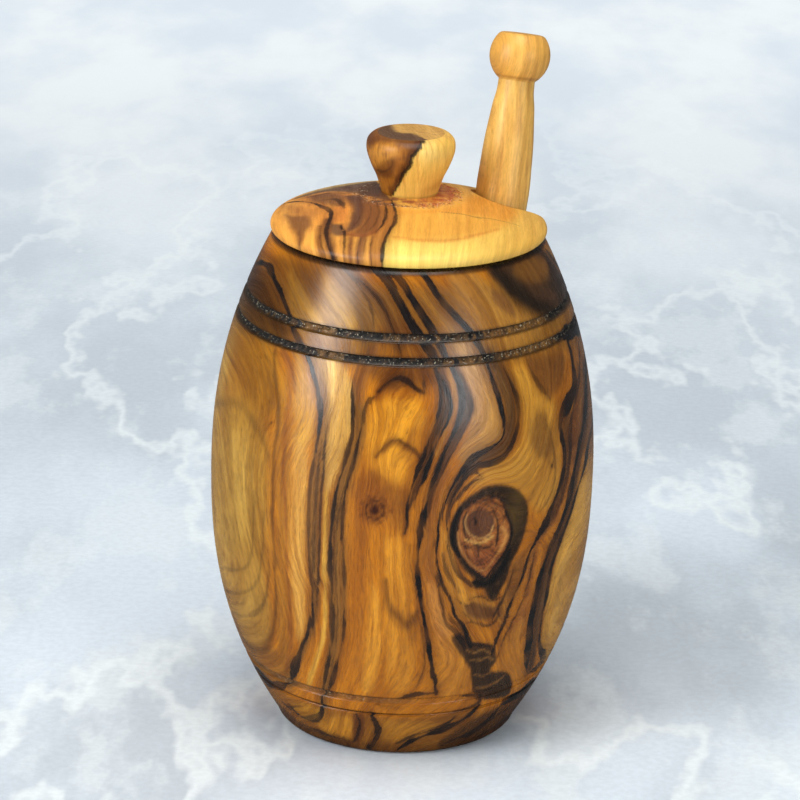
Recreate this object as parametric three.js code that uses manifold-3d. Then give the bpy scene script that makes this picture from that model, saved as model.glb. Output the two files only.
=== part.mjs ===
// A turned olive wood honey pot: a barrel-shaped pot, a lift-off lid with its own knob,
// and a honey dipper that leans in the pot and comes out through a notch in the lid's edge.
// Millimetres, +Z up. The origin is the centre of the pot's flat foot, and -Y is the front.
import * as THREE from "three";
import { mergeVertices } from "three/addons/utils/BufferGeometryUtils.js";
import Module from "manifold-3d";

// Pot
const potHeight = 119.5;
const bellyRadius = 45;
const bellyHeight = 62;
const footRadius = 26.2;
const footRounding = 2;
const barrelFootRadius = 27.4;
const rimRadius = 31;
const rimRounding = 0.8;
const rimRoundingAngle = 60;
const mouthRadius = 28.6;
const wallThickness = 5.5;
const floorThickness = 8;
const floorFillet = 6;
// How fast the barrel draws in: each end falls away as this power of the height from the belly.
const lowerDrawInPower = 2.43;
const upperDrawInPower = 2.2;

// Turned lines on the pot: centre height, width and depth of each
const collarGrooveWidth = 2;
const collarGrooveDepth = 0.9;
const upperCollarGrooveHeight = 105.4;
const lowerCollarGrooveHeight = 100.4;
const footGrooveWidth = 2.2;
const footGrooveDepth = 0.5;
const footGrooveHeight = 17.5;
const footLineWidth = 1;
const footLineDepth = 0.4;
const footLineHeight = 13.3;

// Lid
const seatGap = 0.3;
const lidRadius = 31.9;
const lidEdgeHeight = 1.1;
const lidEdgeRounding = 0.7;
const lidCrestRadius = 25;
const lidCrestHeight = 4.9;
const lidCrownRadius = 12;
const lidCrownHeight = 8.6;
const spigotClearance = 1.1;
const spigotDepth = 4;
const spigotChamfer = 0.5;
const knobFootRadius = 6.5;
const knobFootHeight = 9.2;
const knobRadius = 10.2;
const knobHeight = 13.9;
const knobTopRadius = 7.6;
// The knob's side between its foot and its top: share of its height, share of its widest radius
const knobOutlineShares = [
  [0.27, 0.76],
  [0.44, 0.87],
  [0.6, 0.955],
  [0.74, 1],
  [0.88, 0.98],
  [0.97, 0.87],
];
// The lid's rounded edge bulges this far towards the corner of its edge and its slope.
const lidEdgeBulgeShare = 0.75;

// Dipper
const dipperLeanAngle = 11.8;
const dipperLeanTurnAngle = 62;
const notchReach = 22.4;
const notchTurnAngle = 21.5;
const notchClearance = 0.35;
const dipperStand = 44.3;
const dipperKnobLength = 10.1;
const dipperKnobRadius = 7.05;
const dipperKnobEdgeRadius = 5.6;
const dipperKnobEdgeHeight = 0.7;
const dipperKnobTopRadius = 4.2;
const dipperNeckRadius = 4.2;
const handleRadius = 6.2;
const shaftRadius = 3.6;
const headRadius = 11;
const headLength = 32;
const headCoreRadius = 4.4;
const headGrooveWidth = 2.7;
const headGrooveCount = 5;
const ribRoundingShare = 0.25;
const tipRadius = 6.5;
const tipHeight = 3.2;
// The handle between its neck (0) and the rim plane (1): share of that length, share of its widest radius
const handleOutlineShares = [
  [0.1, 0.7],
  [0.19, 0.785],
  [0.28, 0.84],
  [0.45, 0.93],
  [0.62, 0.975],
  [0.76, 1],
  [1, 0.95],
];
// Where the head's envelope cuts the ellipse that it follows, at its ends
const headEndShare = 0.72;
// The shaft's plain stretch ends at this share of the way down from the rim plane to the head.
const plainShaftShare = 2 / 3;

// How finely round forms are divided
const turnSteps = 60;
const dipperSteps = 24;
const cutterSteps = 24;
const barrelSteps = 16;
const insideSteps = 10;
const stickSteps = 26;
const bendSteps = 4;
const lipSteps = 2;
const overrun = 5;

const degrees = Math.PI / 180;
const seatHeight = potHeight + seatGap;
const potColor = 0xa8702c;
const lidColor = 0xe0a94f;
const dipperColor = 0xdba24a;

// The radius of the barrel's outside at a height, without its turned lines.
function barrelRadius(height) {
  const below = height < bellyHeight;
  const endRadius = below ? barrelFootRadius : rimRadius;
  const reach = below ? bellyHeight : potHeight - bellyHeight;
  const power = below ? lowerDrawInPower : upperDrawInPower;
  const away = Math.abs(height - bellyHeight) / reach;
  return bellyRadius - (bellyRadius - endRadius) * away ** power;
}

// Points of a round bend about a centre, from one angle to another.
function bend(center, radius, from, to, steps = bendSteps) {
  return Array.from({ length: steps + 1 }, (_, i) => {
    const angle = (from + ((to - from) * i) / steps) * degrees;
    return new THREE.Vector2(
      center.x + radius * Math.cos(angle),
      center.y + radius * Math.sin(angle),
    );
  });
}

// Outline points of one turned line, from its lower edge to its upper edge.
// A wide line has a round floor, and a thin one is a plain V.
function grooveOutline({ height, width, depth }) {
  const sides = width > footLineWidth ? [-1, -0.6, 0, 0.6, 1] : [-1, 0, 1];
  return sides.map((side) => {
    const at = height + (side * width) / 2;
    return new THREE.Vector2(barrelRadius(at) - depth * Math.sqrt(1 - side * side), at);
  });
}

function turned(outline, steps) {
  return new THREE.LatheGeometry(outline, steps).rotateX(Math.PI / 2);
}

const wasm = await Module();
wasm.setup();

// A closed geometry as a solid that can be cut and joined.
function solidOf(geometry) {
  const bare = geometry.clone();
  bare.deleteAttribute("normal");
  bare.deleteAttribute("uv");
  const merged = mergeVertices(bare);
  return new wasm.Manifold(
    new wasm.Mesh({
      numProp: 3,
      vertProperties: new Float32Array(merged.attributes.position.array),
      triVerts: new Uint32Array(merged.index.array),
    }),
  );
}

function geometryOf(solid) {
  const mesh = solid.getMesh();
  const geometry = new THREE.BufferGeometry();
  geometry.setAttribute("position", new THREE.BufferAttribute(mesh.vertProperties, mesh.numProp));
  geometry.setIndex(new THREE.BufferAttribute(mesh.triVerts, 1));
  geometry.computeVertexNormals();
  return geometry;
}

function woodPiece(name, geometry, color) {
  const wood = new THREE.MeshStandardMaterial({ color, roughness: 0.42, metalness: 0 });
  const piece = new THREE.Mesh(geometry, wood);
  piece.name = name;
  return piece;
}

// The pot's outside from the foot to the rim: the plain barrel, broken by its turned lines.
function potOutside() {
  const grooves = [
    { height: footLineHeight, width: footLineWidth, depth: footLineDepth },
    { height: footGrooveHeight, width: footGrooveWidth, depth: footGrooveDepth },
    { height: lowerCollarGrooveHeight, width: collarGrooveWidth, depth: collarGrooveDepth },
    { height: upperCollarGrooveHeight, width: collarGrooveWidth, depth: collarGrooveDepth },
  ];
  const first = footRounding;
  const last = potHeight - rimRounding;
  const spacing = (last - first) / barrelSteps;
  const plain = Array.from({ length: barrelSteps + 1 }, (_, i) => first + spacing * i)
    .filter((at) => grooves.every(({ height, width }) => Math.abs(at - height) > width / 2 + spacing / 4))
    .map((at) => new THREE.Vector2(barrelRadius(at), at));
  return [...plain, ...grooves.flatMap(grooveOutline)].sort((a, b) => a.y - b.y);
}

// The pot's inside from the rim down to the floor. It keeps the wall's thickness, and opens to the mouth.
function potInside() {
  const top = potHeight - rimRounding;
  const bottom = floorThickness + floorFillet;
  const filletCenter = new THREE.Vector2(barrelRadius(bottom) - wallThickness - floorFillet, bottom);
  const wall = Array.from({ length: insideSteps }, (_, i) => {
    const at = top - ((top - bottom) * i) / insideSteps;
    return new THREE.Vector2(Math.max(mouthRadius, barrelRadius(at) - wallThickness), at);
  });
  return [...wall, ...bend(filletCenter, floorFillet, 0, -90), new THREE.Vector2(0, floorThickness)];
}

function potBody() {
  const footCorner = new THREE.EllipseCurve(
    footRadius, footRounding, barrelRadius(footRounding) - footRadius, footRounding, -Math.PI / 2, 0,
  );
  const outerLip = new THREE.Vector2(rimRadius - rimRounding, potHeight - rimRounding);
  const innerLip = new THREE.Vector2(mouthRadius + rimRounding, potHeight - rimRounding);
  const outline = [
    new THREE.Vector2(0, 0),
    ...footCorner.getPoints(bendSteps).slice(0, -1),
    ...potOutside(),
    ...bend(outerLip, rimRounding, 90 - rimRoundingAngle, 90, lipSteps),
    ...bend(innerLip, rimRounding, 90, 90 + rimRoundingAngle, lipSteps),
    ...potInside(),
  ];
  return woodPiece("pot_body", turned(outline, turnSteps), potColor);
}

// The knob's side, from its foot up to the edge of its top.
function knobOutline() {
  const foot = seatHeight + knobFootHeight;
  const points = knobOutlineShares.map(
    ([up, out]) => new THREE.Vector2(knobRadius * out, foot + knobHeight * up),
  );
  const side = new THREE.SplineCurve([
    new THREE.Vector2(knobFootRadius, foot),
    ...points,
    new THREE.Vector2(knobTopRadius, foot + knobHeight),
  ]);
  return side.getPoints(2 * points.length);
}

// The lid's rounded edge runs from upright, above the seat, into the slope of its top.
function lidEdge() {
  const slope = (lidCrownHeight - lidCrestHeight) / (lidCrestRadius - lidCrownRadius);
  const start = new THREE.Vector2(lidRadius, seatHeight + lidEdgeHeight);
  const end = new THREE.Vector2(lidCrestRadius, seatHeight + lidCrestHeight);
  const corner = new THREE.Vector2(lidRadius, end.y - slope * (lidRadius - lidCrestRadius));
  const curve = new THREE.CubicBezierCurve(
    start,
    start.clone().lerp(corner, lidEdgeBulgeShare),
    end.clone().lerp(corner, lidEdgeBulgeShare),
    end,
  );
  return curve.getPoints(2 * bendSteps);
}

// The lid and its knob, turned in one piece, before the notch is cut.
function lidBlank() {
  const spigotRadius = mouthRadius - spigotClearance;
  const spigotBottom = seatHeight - spigotDepth;
  const underCorner = new THREE.EllipseCurve(
    lidRadius - lidEdgeRounding, seatHeight + lidEdgeHeight, lidEdgeRounding, lidEdgeHeight, -Math.PI / 2, 0,
  );
  return [
    new THREE.Vector2(0, spigotBottom),
    new THREE.Vector2(spigotRadius - spigotChamfer, spigotBottom),
    new THREE.Vector2(spigotRadius, spigotBottom + spigotChamfer),
    new THREE.Vector2(spigotRadius, seatHeight),
    ...underCorner.getPoints(bendSteps).slice(0, -1),
    ...lidEdge(),
    new THREE.Vector2(lidCrownRadius, seatHeight + lidCrownHeight),
    ...knobOutline(),
    new THREE.Vector2(0, seatHeight + knobFootHeight + knobHeight),
  ];
}

// The place where the dipper's axis meets the plane of the pot's rim, and the way the axis leans.
const dipperPlace = new THREE.Vector3(
  notchReach * Math.cos(notchTurnAngle * degrees),
  notchReach * Math.sin(notchTurnAngle * degrees),
  potHeight,
);
const dipperDirection = new THREE.Vector3().setFromSphericalCoords(1, dipperLeanAngle * degrees, 0)
  .applyAxisAngle(new THREE.Vector3(1, 0, 0), Math.PI / 2)
  .applyAxisAngle(new THREE.Vector3(0, 0, 1), (dipperLeanTurnAngle + 90) * degrees);
const dipperTurn = new THREE.Quaternion().setFromUnitVectors(new THREE.Vector3(0, 0, 1), dipperDirection);

// A U-shaped cutter, open away from the lid's centre. It leans as the dipper does,
// so that the lid lifts off along the dipper, past its knob.
function notchCutter() {
  const radius = dipperKnobRadius + notchClearance;
  const below = spigotDepth + overrun;
  const above = lidCrownHeight + seatGap + overrun;
  const outline = new THREE.Shape();
  outline.absarc(0, 0, radius, Math.PI / 2, (3 * Math.PI) / 2, false);
  outline.lineTo(lidRadius, -radius);
  outline.lineTo(lidRadius, radius);
  outline.closePath();
  return new THREE.ExtrudeGeometry(outline, {
    depth: below + above,
    bevelEnabled: false,
    curveSegments: cutterSteps,
  })
    .translate(0, 0, -below)
    .rotateZ(notchTurnAngle * degrees)
    .applyQuaternion(dipperTurn)
    .translate(dipperPlace.x, dipperPlace.y, dipperPlace.z);
}

function lid() {
  const cut = solidOf(turned(lidBlank(), turnSteps)).subtract(solidOf(notchCutter()));
  return woodPiece("lid", geometryOf(cut), lidColor);
}

// How far the dipper reaches below the rim plane, along its axis, with its round tip just over the floor.
function dipperReach() {
  const lean = dipperLeanAngle * degrees;
  const tipDrop = Math.hypot(tipRadius * Math.sin(lean), tipHeight * Math.cos(lean));
  return (potHeight - floorThickness - seatGap - tipDrop) / Math.cos(lean) + tipHeight;
}

// The head's envelope: the middle stretch of an ellipse, widest halfway up the head.
function headEnvelope(share) {
  return headRadius * Math.sqrt(1 - (headEndShare * (2 * share - 1)) ** 2);
}

// The head's ribs, each following the envelope, with square grooves down to the core between them.
function headOutline(bottom) {
  const span = headLength - tipHeight;
  const ribWidth = (span - headGrooveCount * headGrooveWidth) / (headGrooveCount + 1);
  const rounding = ribWidth * ribRoundingShare;
  const points = [];
  for (let i = 0; i <= headGrooveCount; i++) {
    const start = i * (ribWidth + headGrooveWidth);
    const along = [start, start + rounding, start + ribWidth - rounding, start + ribWidth];
    const inset = [rounding, 0, 0, rounding];
    if (i > 0) points.push(new THREE.Vector2(headCoreRadius, bottom + start));
    along.forEach((at, k) => {
      points.push(new THREE.Vector2(headEnvelope(at / span) - inset[k], bottom + at));
    });
    if (i < headGrooveCount) points.push(new THREE.Vector2(headCoreRadius, bottom + start + ribWidth));
  }
  return points;
}

// The shaft, the handle and the knob, from the head's top to the top of the knob.
function stickOutline(headTop) {
  const knobBottom = dipperStand - dipperKnobLength;
  const handle = handleOutlineShares.map(
    ([down, out]) => new THREE.Vector2(handleRadius * out, knobBottom * (1 - down)),
  );
  const stick = new THREE.SplineCurve([
    new THREE.Vector2(shaftRadius, headTop),
    new THREE.Vector2(shaftRadius, headTop * plainShaftShare),
    ...handle.reverse(),
    new THREE.Vector2(dipperNeckRadius, knobBottom),
  ]);
  const middle = knobBottom + dipperKnobLength / 2;
  const edgeAngle = Math.acos(dipperKnobEdgeRadius / dipperKnobRadius);
  const neckAngle = Math.acos(dipperNeckRadius / dipperKnobRadius);
  const rise = (dipperKnobLength / 2 - dipperKnobEdgeHeight) / Math.sin(edgeAngle);
  const knob = new THREE.EllipseCurve(0, middle, dipperKnobRadius, rise, -neckAngle, edgeAngle);
  const inward = (dipperKnobEdgeHeight * dipperKnobRadius * Math.tan(edgeAngle)) / rise;
  const edge = new THREE.QuadraticBezierCurve(
    new THREE.Vector2(dipperKnobEdgeRadius, dipperStand - dipperKnobEdgeHeight),
    new THREE.Vector2(dipperKnobEdgeRadius - inward, dipperStand),
    new THREE.Vector2(dipperKnobTopRadius, dipperStand),
  );
  return [
    ...stick.getPoints(stickSteps).slice(0, -1),
    ...knob.getPoints(2 * bendSteps).slice(0, -1),
    ...edge.getPoints(bendSteps),
  ];
}

function dipper() {
  const bottom = -dipperReach();
  const headBottom = bottom + tipHeight;
  const headTop = bottom + headLength;
  const tip = new THREE.EllipseCurve(0, headBottom, tipRadius, tipHeight, -Math.PI / 2, 0);
  const outline = [
    ...tip.getPoints(bendSteps),
    ...headOutline(headBottom),
    ...stickOutline(headTop),
    new THREE.Vector2(0, dipperStand),
  ];
  const piece = woodPiece("dipper", turned(outline, dipperSteps), dipperColor);
  piece.position.copy(dipperPlace);
  piece.quaternion.copy(dipperTurn);
  return piece;
}

const honeyPot = new THREE.Group();
honeyPot.add(potBody(), lid(), dipper());

export default honeyPot;
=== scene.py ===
"""The looks of a turned olive wood honey pot: figured wood on the pot, its lid and its dipper.

Shapes are in millimetres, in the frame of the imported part, and become metres when a mesh is made.
The wood's figure is drawn as lines and areas on the pot's skin and on the lid, and each mesh point takes
its colour from them.
"""

import math

import bpy
import numpy as np
from mathutils import Matrix, Vector


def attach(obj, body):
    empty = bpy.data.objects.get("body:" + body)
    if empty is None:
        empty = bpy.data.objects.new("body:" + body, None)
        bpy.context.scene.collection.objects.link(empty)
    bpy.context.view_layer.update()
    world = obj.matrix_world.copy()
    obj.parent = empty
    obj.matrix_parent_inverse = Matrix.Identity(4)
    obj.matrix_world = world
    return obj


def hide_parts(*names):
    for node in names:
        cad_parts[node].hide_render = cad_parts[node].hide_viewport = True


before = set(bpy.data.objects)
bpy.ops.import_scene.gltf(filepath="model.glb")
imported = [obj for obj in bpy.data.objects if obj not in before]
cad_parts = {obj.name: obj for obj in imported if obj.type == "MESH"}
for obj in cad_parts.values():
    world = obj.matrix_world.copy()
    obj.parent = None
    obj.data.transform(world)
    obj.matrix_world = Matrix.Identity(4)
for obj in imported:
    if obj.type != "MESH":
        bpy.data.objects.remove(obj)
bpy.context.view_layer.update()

MM = 0.001
# The camera: height above the horizon, roll, distance, focal length in picture points, and its aim
CAMERA_ELEVATION = 19.04
CAMERA_ROLL = 1.57
CAMERA_DISTANCE = 800.0
CAMERA_FOCAL_POINTS = 3411.2
CAMERA_AIM = (-0.92, 0.0, 78.13)
PICTURE = 800
SENSOR = 36.0
CLIP_RANGE = (0.05, 20)
# One picture point on the pot, in millimetres
POINT = CAMERA_DISTANCE / CAMERA_FOCAL_POINTS
# How far before and behind its aim a sight line is searched, in which steps, and how often a step is halved
CAST_SPAN = 60
CAST_STEP = 0.5
CAST_HALVINGS = 12

# The pot's turned form
POT_HEIGHT = 119.5
BELLY_RADIUS = 45.0
BELLY_HEIGHT = 62.0
FOOT_RADIUS = 26.2
FOOT_ROUNDING = 2.0
BARREL_FOOT_RADIUS = 27.4
RIM_RADIUS = 31.0
RIM_ROUNDING = 0.8
MOUTH_RADIUS = 28.6
WALL = 5.5
FLOOR = 8.0
FLOOR_FILLET = 6.0
LOWER_POWER = 2.43
UPPER_POWER = 2.2
# Turned lines: height, width, depth, and how far the figure shifts sideways at the full depth
COLLAR_LINES = ((105.4, 2.0, 0.9, 2.4), (100.4, 2.0, 0.9, 2.4))
FOOT_BAND = (17.5, 2.2, 0.5, 1.0)
FOOT_LINE = (13.3, 1.0, 0.4, 0.6)
TURNED_LINES = (*COLLAR_LINES, FOOT_BAND, FOOT_LINE)

# How finely the skin that carries the figure is divided: degrees in front, turns behind, millimetres up
FINE_TURN = 0.35
COARSE_TURNS = 212
FINE_RISE = 0.5
SIDE_COARSENING = 1.3
# The clear strip of skin beside a turned line, where the line's lip starts in it, and the line's points
LINE_CLEARANCE = 0.15
LINE_LIP = 0.06
LINE_POINTS = 13
# Steps round the foot's and the rim's roundings and the inner fillet, and points down the inner wall
FOOT_STEPS = 6
RIM_STEPS = 4
FILLET_STEPS = 5
INNER_POINTS = 12

# The lid's turned form, above its seat
SEAT = 119.8
LID_RADIUS = 31.9
LID_EDGE_HEIGHT = 1.1
LID_EDGE_ROUNDING = 0.7
LID_CREST = (25.0, 4.9)
LID_CROWN = (12.0, 8.6)
LID_EDGE_BULGE = 0.75
LID_EDGE_POINTS = 25
LID_SLOPE_POINTS = 24
LID_CROWN_POINTS = 14
KNOB_STEPS = 7
KNOB_TOP_RINGS = 18
LID_SHARP_ANGLE = 38
SPIGOT_RADIUS = 27.5
SPIGOT_DEPTH = 4.0
SPIGOT_CHAMFER = 0.5
KNOB_FOOT = (6.5, 9.2)
KNOB_RADIUS = 10.2
KNOB_HEIGHT = 13.9
KNOB_TOP_RADIUS = 7.6
KNOB_TOP = SEAT + KNOB_FOOT[1] + KNOB_HEIGHT
# How far round the knob its dark wood reaches, on its skin
KNOB_WEDGE_REACH = 28.5
KNOB_SHARES = ((0.27, 0.76), (0.44, 0.87), (0.6, 0.955), (0.74, 1), (0.88, 0.98), (0.97, 0.87))

# The dipper: where its axis meets the pot's rim plane, how it leans, and its turned form
DIPPER_LEAN = 11.8
DIPPER_LEAN_TURN = 62.0
NOTCH_REACH = 22.4
NOTCH_TURN = 21.5
NOTCH_RADIUS = 7.4
# How far below and above the pot's rim plane the notch's cutter runs
NOTCH_SPAN = (-9, 15)
DIPPER_STAND = 44.3
DIPPER_KNOB_LENGTH = 10.1
DIPPER_KNOB_RADIUS = 7.05
DIPPER_KNOB_EDGE_RADIUS = 5.6
DIPPER_KNOB_EDGE_HEIGHT = 0.7
DIPPER_KNOB_TOP_RADIUS = 4.2
DIPPER_NECK_RADIUS = 4.2
HANDLE_RADIUS = 6.2
SHAFT_RADIUS = 3.6
HEAD_RADIUS = 11.0
HEAD_LENGTH = 32.0
HEAD_CORE_RADIUS = 4.4
HEAD_GROOVE = 2.7
HEAD_GROOVES = 5
TIP_RADIUS = 6.5
TIP_HEIGHT = 3.2
TIP_CLEARANCE = 0.3
DIPPER_TURNS = 96
DIPPER_SHARP_ANGLE = 40
HANDLE_SHARES = ((0.1, 0.7), (0.19, 0.785), (0.28, 0.84), (0.45, 0.93), (0.62, 0.975), (0.76, 1), (1, 0.95))
HEAD_END_SHARE = 0.72
PLAIN_SHAFT_SHARE = 2 / 3
RIB_ROUNDING_SHARE = 0.25


def linear(red, green, blue):
    """A colour given in the usual 0 to 255 values, as linear light."""
    share = np.array([red, green, blue]) / 255
    return np.where(share <= 0.04045, share / 12.92, ((share + 0.055) / 1.055) ** 2.4)


# What the pot's oiled wood keeps of red, green and blue
WARMTH = np.array([1.0, 0.98, 0.68])
# Tones that have a name, in the usual 0 to 255 values
AMBER = (188, 114, 14)
RUST = (142, 80, 30)
BROWN = (72, 42, 22)
GREY_BROWN = (132, 90, 44)
PLUM = (110, 68, 44)
INK = (22, 15, 13)
# Black for the painted shade in the foot's turned lines
GROOVE_SHADE_BLACK = (20, 14, 12)
# Beyond this a logistic rise is flat
FLAT_RISE = 60


def tint(color, tone, share):
    """Colours drawn towards one tone by a share for each place."""
    return color + (linear(*tone) - color) * np.clip(share, 0, 1)[:, None]


def lay(color, stroke, share):
    """Colours drawn towards a stroke's tone, by its strength times a share for each place."""
    tone, strength = stroke
    return tint(color, tone, strength * share)


def coat(tone, count):
    """One tone for a number of places."""
    return np.tile(linear(*tone), (count, 1))


def hump(distance, width, power=2):
    """Falls from 1 at no distance to 0. A higher power keeps it flat inside the width and steep past it."""
    return np.exp(-((distance / width) ** power))


def rise_past(value):
    """Rises smoothly from 0 to 1 as the value passes 0."""
    return 1 / (1 + np.exp(-np.clip(value, -FLAT_RISE, FLAT_RISE)))


def smooth(share):
    """A rise from 0 to 1 with soft ends."""
    share = np.clip(share, 0, 1)
    return share * share * (3 - 2 * share)


def wave(value):
    return 0.5 + 0.5 * np.sin(value)


def camera_axes():
    """The camera's right, up and back directions, as rows."""
    lift = math.radians(CAMERA_ELEVATION)
    roll = math.radians(CAMERA_ROLL)
    right = np.array([1.0, 0.0, 0.0])
    back = np.array([0.0, -math.cos(lift), math.sin(lift)])
    up = np.cross(back, right)
    return np.array([
        math.cos(roll) * right + math.sin(roll) * up,
        -math.sin(roll) * right + math.cos(roll) * up,
        back,
    ])


AXES = camera_axes()
EYE = np.array(CAMERA_AIM) + AXES[2] * CAMERA_DISTANCE


def cast(points, outside):
    """Where the sight lines of picture points first meet a turned form: outside(r, z) is above 0 off it."""
    points = np.asarray(points, float)
    rays = np.stack([
        (points[:, 0] - PICTURE / 2) / CAMERA_FOCAL_POINTS,
        (PICTURE / 2 - points[:, 1]) / CAMERA_FOCAL_POINTS,
        -np.ones(len(points)),
    ], axis=1) @ AXES
    rays /= np.linalg.norm(rays, axis=1)[:, None]

    def clear(reach):
        place = EYE + rays * reach[:, None]
        return outside(np.hypot(place[:, 0], place[:, 1]), place[:, 2])

    steps = np.arange(CAMERA_DISTANCE - CAST_SPAN, CAMERA_DISTANCE + CAST_SPAN, CAST_STEP)
    far = np.full(len(points), steps[-1])
    best = np.full(len(points), np.inf)
    nearest = np.full(len(points), CAMERA_DISTANCE)
    found = np.zeros(len(points), bool)
    for step in steps:
        value = clear(np.full(len(points), step))
        hit = (value <= 0) & ~found
        far[hit] = step
        found |= hit
        closer = ~found & (value < best)
        best[closer] = value[closer]
        nearest[closer] = step
    close = far - CAST_STEP
    for _ in range(CAST_HALVINGS):
        middle = (close + far) / 2
        inside = clear(middle) <= 0
        far = np.where(inside, middle, far)
        close = np.where(inside, close, middle)
    reach = np.where(found, far, nearest)
    return EYE + rays * reach[:, None]


def spline(points, steps):
    """A smooth curve through points, with the same number of steps between each two."""
    points = np.asarray(points, float)
    padded = np.vstack([2 * points[0] - points[1], points, 2 * points[-1] - points[-2]])
    share = np.linspace(0, 1, steps, endpoint=False)[:, None]
    pieces = []
    for a, b, c, d in zip(padded, padded[1:], padded[2:], padded[3:]):
        pieces.append(0.5 * (2 * b + (c - a) * share + (2 * a - 5 * b + 4 * c - d) * share**2
                             + (3 * b - a - 3 * c + d) * share**3))
    return np.vstack([*pieces, points[-1:]])


def barrel(height):
    """The radius of the barrel's outside, without its turned lines."""
    height = np.asarray(height, float)
    below = height < BELLY_HEIGHT
    end = np.where(below, BARREL_FOOT_RADIUS, RIM_RADIUS)
    reach = np.where(below, BELLY_HEIGHT, POT_HEIGHT - BELLY_HEIGHT)
    power = np.where(below, LOWER_POWER, UPPER_POWER)
    return BELLY_RADIUS - (BELLY_RADIUS - end) * (np.abs(height - BELLY_HEIGHT) / reach) ** power


def groove_depth(height):
    """How deep the turned lines cut at a height, and how far they shift the figure there."""
    height = np.asarray(height, float)
    depth = np.zeros_like(height)
    shift = np.zeros_like(height)
    for middle, width, deep, slide in TURNED_LINES:
        side = np.clip(np.abs(height - middle) * 2 / width, 0, 1)
        cut = np.sqrt(1 - side**2)
        depth = np.maximum(depth, deep * cut)
        shift = np.maximum(shift, slide * cut)
    return depth, shift


def lid_top():
    """The lid's top from its edge in to the knob's foot, as (radius, height) pairs."""
    crest = np.array([LID_CREST[0], SEAT + LID_CREST[1]])
    crown = np.array([LID_CROWN[0], SEAT + LID_CROWN[1]])
    slope = (crown[1] - crest[1]) / (crest[0] - crown[0])
    start = np.array([LID_RADIUS, SEAT + LID_EDGE_HEIGHT])
    corner = np.array([LID_RADIUS, crest[1] - slope * (LID_RADIUS - LID_CREST[0])])
    a = start + (corner - start) * LID_EDGE_BULGE
    b = crest + (corner - crest) * LID_EDGE_BULGE
    t = np.linspace(0, 1, LID_EDGE_POINTS)[:, None]
    edge = start * (1 - t) ** 3 + 3 * a * t * (1 - t) ** 2 + 3 * b * t**2 * (1 - t) + crest * t**3
    slope_part = crest + (crown - crest) * np.linspace(0, 1, LID_SLOPE_POINTS)[1:, None]
    foot = np.array([KNOB_FOOT[0], SEAT + KNOB_FOOT[1]])
    crown_part = crown + (foot - crown) * np.linspace(0, 1, LID_CROWN_POINTS)[1:, None]
    return np.vstack([edge, slope_part, crown_part])


def knob_side():
    """The knob's side from its foot up to the edge of its top."""
    foot = SEAT + KNOB_FOOT[1]
    through = [(KNOB_FOOT[0], foot)]
    through += [(KNOB_RADIUS * out, foot + KNOB_HEIGHT * up) for up, out in KNOB_SHARES]
    through += [(KNOB_TOP_RADIUS, foot + KNOB_HEIGHT)]
    return spline(through, KNOB_STEPS)


def bow(center, radius, start, end, steps):
    turn = np.radians(np.linspace(start, end, steps + 1))
    return np.stack([center[0] + radius[0] * np.cos(turn), center[1] + radius[1] * np.sin(turn)], axis=1)


LID_TOP = lid_top()
KNOB_SIDE = knob_side()


def outside_pot(r, z):
    return np.maximum(r - barrel(np.clip(z, 0, POT_HEIGHT)), np.maximum(z - POT_HEIGHT, -z))


def outside_lid(r, z):
    top = np.interp(r, LID_TOP[::-1, 0], LID_TOP[::-1, 1])
    return np.maximum(z - top, np.maximum(r - LID_RADIUS, SEAT - z))


def outside_knob(r, z):
    edge = np.interp(z, KNOB_SIDE[:, 1], KNOB_SIDE[:, 0])
    return np.maximum(r - edge, np.maximum(z - KNOB_SIDE[-1, 1], KNOB_SIDE[0, 1] - z))


def skin(places):
    """Points on the barrel's unrolled skin, as (way round from the front, height) in millimetres."""
    return np.stack([np.arctan2(places[:, 0], -places[:, 1]) * BELLY_RADIUS, places[:, 2]], axis=1)


def on_pot(points):
    return skin(cast(points, outside_pot))


# The least share of its width at which a line is seen, and the most a line is widened for that
LEAST_SEEN = 0.3
MOST_WIDENING = 2.6


def foreshortening(line):
    """How much wider than the camera sees it a line is on the unrolled skin, at each of its points."""
    turn = line[:, 0] / BELLY_RADIUS
    return np.clip(BELLY_RADIUS / barrel(line[:, 1]) / np.maximum(np.cos(turn), LEAST_SEEN), 1, MOST_WIDENING)


LID_REACH = np.concatenate([[0], np.cumsum(np.linalg.norm(np.diff(LID_TOP[::-1], axis=0), axis=1))])


def lid_plan(places):
    """Points on the lid's top as places on a flat disc, where the rounded edge is laid out flat too."""
    r = np.hypot(places[:, 0], places[:, 1])
    steep = np.interp(places[:, 2], LID_TOP[:LID_EDGE_POINTS, 1], LID_TOP[:LID_EDGE_POINTS, 0])
    inner = np.interp(r, LID_TOP[::-1, 0], LID_REACH)
    outer = np.interp(places[:, 2], LID_TOP[:LID_EDGE_POINTS, 1], LID_REACH[::-1][:LID_EDGE_POINTS])
    out = np.where((r > LID_CREST[0]) & (steep > LID_CREST[0] + 0.5), outer, inner) + KNOB_FOOT[0]
    out = np.where(places[:, 2] < SEAT + LID_EDGE_HEIGHT, LID_REACH[-1] + KNOB_FOOT[0], out)
    return places[:, :2] / np.maximum(r, 1e-6)[:, None] * out[:, None]


def on_lid(points):
    return lid_plan(cast(points, outside_lid))


def knob_skin(places):
    return np.stack([np.arctan2(places[:, 0], -places[:, 1]) * KNOB_RADIUS, places[:, 2]], axis=1)


def on_knob(points):
    return knob_skin(cast(points, outside_knob))


# Steps between two drawn points, how far off a line is felt in half widths, and how steep its edge is
LINE_STEPS = 4
LINE_REACH = 2.5
LINE_EDGE_POWER = 5


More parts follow.
